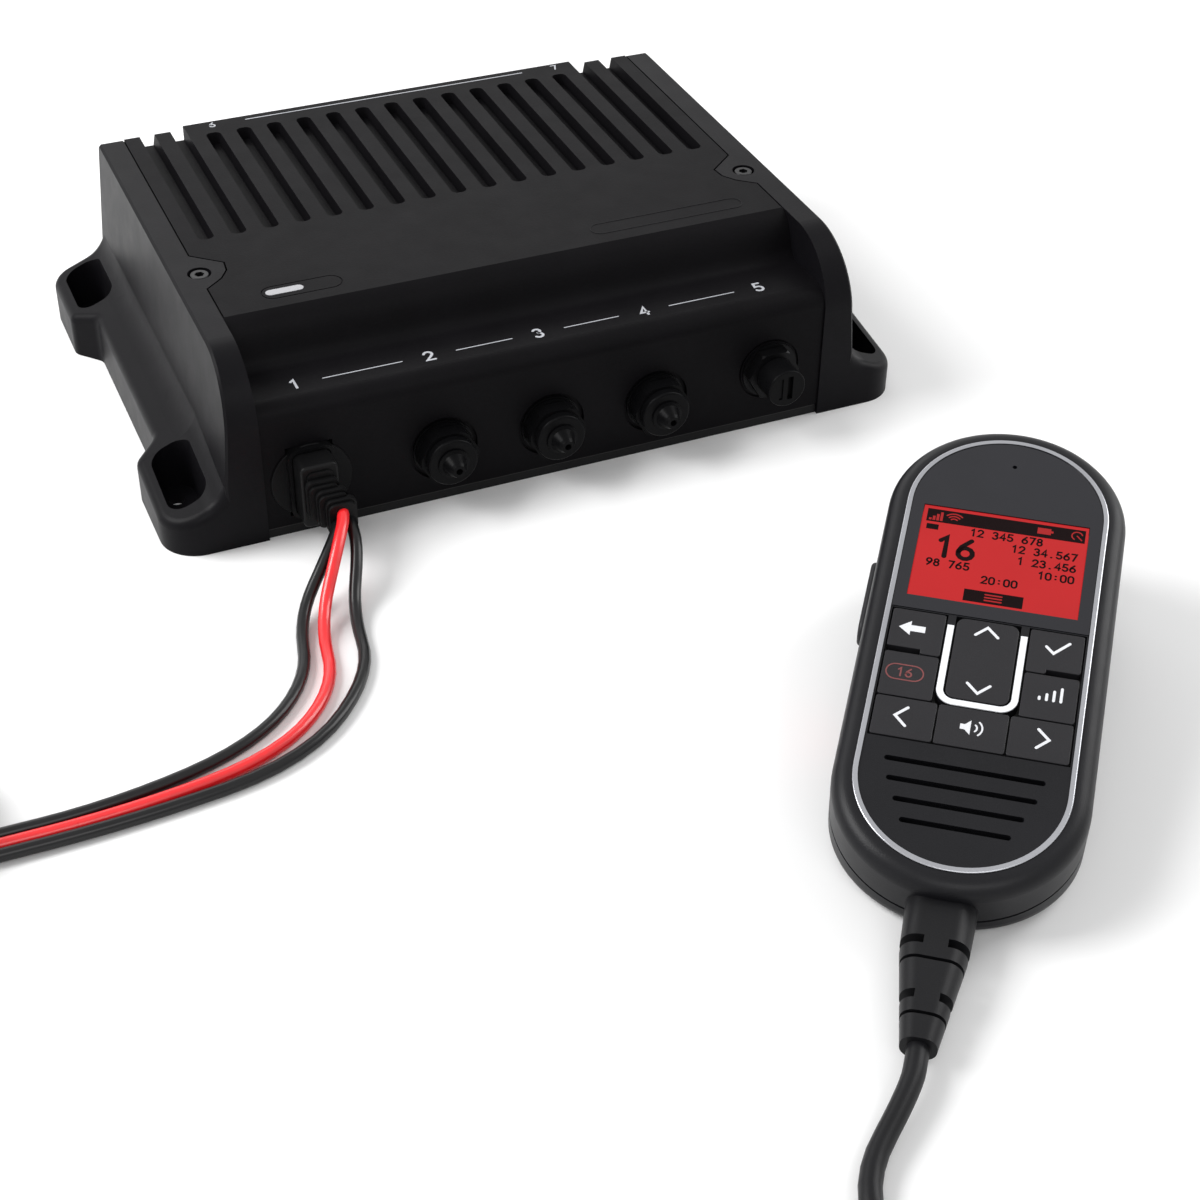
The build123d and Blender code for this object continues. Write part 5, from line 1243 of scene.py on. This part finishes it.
    def _screen_blocks(self) -> None:
        """Draws the screen's dark blocks."""
        left, right, low, high = self._edges
        plane = flat_at(self.screen_z, HANDSET)
        for name, reach, edges in (
                ("status_bar", self.status_bar, (left, right, high, high)),
                ("soft_key_box", self.soft_key_box, (0.0, 0.0, low, low)),
                ("busy_flag", self.busy_flag, (left, left, high, high))):
            x0, x1, y0, y1 = (edge + inset for edge, inset in zip(edges, reach))
            self.maker.plates(name, [[(x0, y0), (x1, y0), (x1, y1), (x0, y1)]], plane, self.film,
                              self.body, "screen_dark")

    def _icon(self, name: str, lines: Iterable[Sequence[Point2]], width: float) -> None:
        """Draws lit strokes on the screen's dark blocks."""
        self.maker.strokes(name, lines, width, flat_at(self.screen_z + self.film, HANDSET),
                           self.body, "screen_glow", height=self.icon_film)

    def _screen_icons(self) -> None:
        """Draws the status bar's lit signs."""
        left, _, _, high = self._edges
        icons = flat_at(self.screen_z + self.film, HANDSET)
        foot, top = self.step_feet
        steps = []
        for k in range(self.steps):
            x0, x1 = (left + edge + self.step_pitch * k for edge in self.step_sides)
            rise = high - top + self.step_rise * k
            steps.append([(x0, high - foot), (x1, high - foot), (x1, rise), (x0, rise)])
        self.maker.plates("signal_steps", steps, icons, self.icon_film, self.body, "screen_glow")
        fan_x, fan_below = self.fan_foot
        fan = [arc((left + fan_x, high - fan_below), radius, *self.fan_angles, 6)
               for radius in self.fan_radii]
        self._icon("signal_fan", fan, self.fan_line)
        self.maker.plates("battery_mark", [[(x, high - below) for x, below in self.battery]], icons,
                          self.icon_film, self.body, "screen_glow")
        dish_x, dish_below, radius = self.dish
        middle = (dish_x, high - dish_below)
        foot_x, foot_below = self.dish_foot
        bowl = arc(middle, radius, *self.dish_angles)
        self._icon("dish_mark", [bowl, [middle, (foot_x, high - foot_below)]], self.dish_line)

    def _row(self, reading: Reading, height: float) -> list[list[Point2]]:
        """Returns the strokes of one row of figures."""
        return Figures.lay_out(reading.figures, height, (reading.x, self._edges[3] - reading.below))

    def _screen_figures(self) -> None:
        """Draws the channel, the readings and the soft key's sign."""
        plane = flat_at(self.screen_z, HANDSET)
        self.maker.strokes("channel_readout", self._row(self.big_reading, self.big),
                           self.big_line * self.big, plane, self.body, "screen_dark",
                           height=self.film)
        small = [line for reading in self.readings for line in self._row(reading, self.small)]
        self.maker.strokes("readings", small, self.small_line * self.small, plane, self.body,
                           "screen_dark", height=self.film)
        reach, middle = self.menu
        low = self._edges[2]
        menu = [[(-reach, low + middle + rise), (reach, low + middle + rise)]
                for rise in self.menu_rises]
        self._icon("menu_mark", menu, self.thin_line)


# ---------------------------------------------------------------- studio
@dataclass(frozen=True)
class Lamp:
    """A soft rectangular studio lamp."""

    name: str
    place: Point3
    target: Point3
    size: tuple[float, float]
    power: float

    def build(self) -> bpy.types.Object:
        """Makes the lamp and points it.

        Returns:
            The lamp.
        """
        data = bpy.data.lights.new(self.name, "AREA")
        data.shape = "RECTANGLE"
        data.size, data.size_y = self.size
        data.energy = self.power
        obj = bpy.data.objects.new(self.name, data)
        obj.matrix_world = aim(Vector(self.place), Vector(self.target))
        bpy.context.scene.collection.objects.link(obj)
        return obj


def aim(place: Vector, target: Vector, roll: float = 0.0) -> Matrix:
    """Returns the matrix of something that stands at a place and looks at a target."""
    turn = (target - place).to_track_quat("-Z", "Y").to_matrix().to_4x4()
    return Matrix.Translation(place) @ turn @ Matrix.Rotation(roll, 4, "Z")


@dataclass(frozen=True)
class Studio:
    """Camera, floor, lamps and world.

    The camera's target and distance are in millimetres and its lens in pixels. The rest is in
    metres.
    """

    target: Point3 = (-23.679, -182.356, 20.0)
    azimuth: float = -23.625
    elevation: float = 37.927
    roll: float = 0.823
    distance: float = 664.143
    focal: float = 2171.415
    picture: float = 1200
    sensor: float = 36.0
    sky: float = 0.42
    floor_half: float = 6.0
    floor_fade: Point2 = (0.75, 1.35)
    lamps: tuple[Lamp, ...] = (
        Lamp("key_lamp", (-0.9, 0.25, 0.9), (0.0, -0.05, 0.03), (0.7, 0.7), 17.0),
        Lamp("front_lamp", (-0.35, -1.3, 1.1), (0.0, -0.15, 0.0), (1.2, 0.6), 6.0),
        Lamp("right_lamp", (1.1, -0.1, 0.7), (0.05, -0.15, 0.0), (0.5, 0.9), 7.0),
        Lamp("back_lamp", (0.1, 1.2, 0.9), (0.0, 0.0, 0.05), (1.2, 0.4), 3.0),
    )

    def build(self) -> None:
        """Makes the camera first, then the surroundings."""
        self._camera()
        self._floor()
        for lamp in self.lamps:
            lamp.build()
        self._world()
        bpy.context.scene.view_settings.view_transform = "Standard"

    def _camera(self) -> None:
        """Makes the camera."""
        azimuth, elevation = math.radians(self.azimuth), math.radians(self.elevation)
        back = Vector((math.sin(azimuth) * math.cos(elevation),
                       -math.cos(azimuth) * math.cos(elevation), math.sin(elevation)))
        target = Vector(self.target) * MM
        data = bpy.data.cameras.new("camera")
        data.sensor_fit = "HORIZONTAL"
        data.sensor_width = self.sensor
        data.lens = self.sensor * self.focal / self.picture
        data.clip_start = 0.01
        obj = bpy.data.objects.new("camera", data)
        obj.matrix_world = aim(target + back * (self.distance * MM), target,
                               math.radians(self.roll))
        bpy.context.scene.collection.objects.link(obj)
        bpy.context.scene.camera = obj

    def _floor(self) -> None:
        """Lays the white paper floor."""
        bm = bmesh.new()
        bmesh.ops.create_grid(bm, x_segments=8, y_segments=8, size=self.floor_half)
        mesh = bpy.data.meshes.new("studio_floor")
        bm.to_mesh(mesh)
        bm.free()
        obj = bpy.data.objects.new("studio_floor", mesh)
        bpy.context.scene.collection.objects.link(obj)
        graph = Graph(bpy.data.materials.new("floor_paper"))
        shade = graph.noise(0.4, 1.0)
        inputs = graph.shader.inputs
        graph.feed(inputs["Base Color"], graph.blend(shade, (0.9, 0.9, 0.9), (0.93, 0.93, 0.93)))
        graph.feed(inputs["Roughness"], shade.ramp(0.0, 1.0, 0.85, 0.95))
        graph.feed(inputs["Alpha"], self._reach(graph).ramp(*self.floor_fade, 1.0, 0.0))
        obj.data.materials.append(graph.owner)

    @staticmethod
    def _reach(graph: Graph) -> Signal:
        """Measures how far a spot lies from the floor's middle.

        Args:
            graph: The floor's graph.

        Returns:
            The distance in metres.
        """
        where = Signal(graph, graph.node("ShaderNodeTexCoord").outputs["Object"])
        length = graph.node("ShaderNodeVectorMath", {0: where}, operation="LENGTH")
        return Signal(graph, length.outputs["Value"])

    def _world(self) -> None:
        """Lights the object evenly, and shows white to the camera, in gloss and through glass."""
        world = bpy.data.worlds.new("studio_world")
        graph = Graph(world, "ShaderNodeBackground", "ShaderNodeOutputWorld")
        rays = graph.node("ShaderNodeLightPath").outputs
        seen = sum((Signal(graph, rays[f"Is {kind} Ray"]) for kind in ("Glossy", "Transmission")),
                   Signal(graph, rays["Is Camera Ray"]))
        graph.feed(graph.shader.inputs["Color"], (1.0, 1.0, 1.0, 1.0))
        graph.feed(graph.shader.inputs["Strength"], seen.ramp(0.0, 1.0, self.sky, 1.0))
        bpy.context.scene.world = world


def main() -> None:
    """Builds the whole scene on the frame."""
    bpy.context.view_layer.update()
    Studio().build()
    maker = Maker(Palette())
    for assembly in (SupplyLead(maker), HandsetCord(maker), Transceiver(maker), Handset(maker)):
        assembly.build()
        log.info("%s done", type(assembly).__name__)


if __name__ == "__main__":
    main()
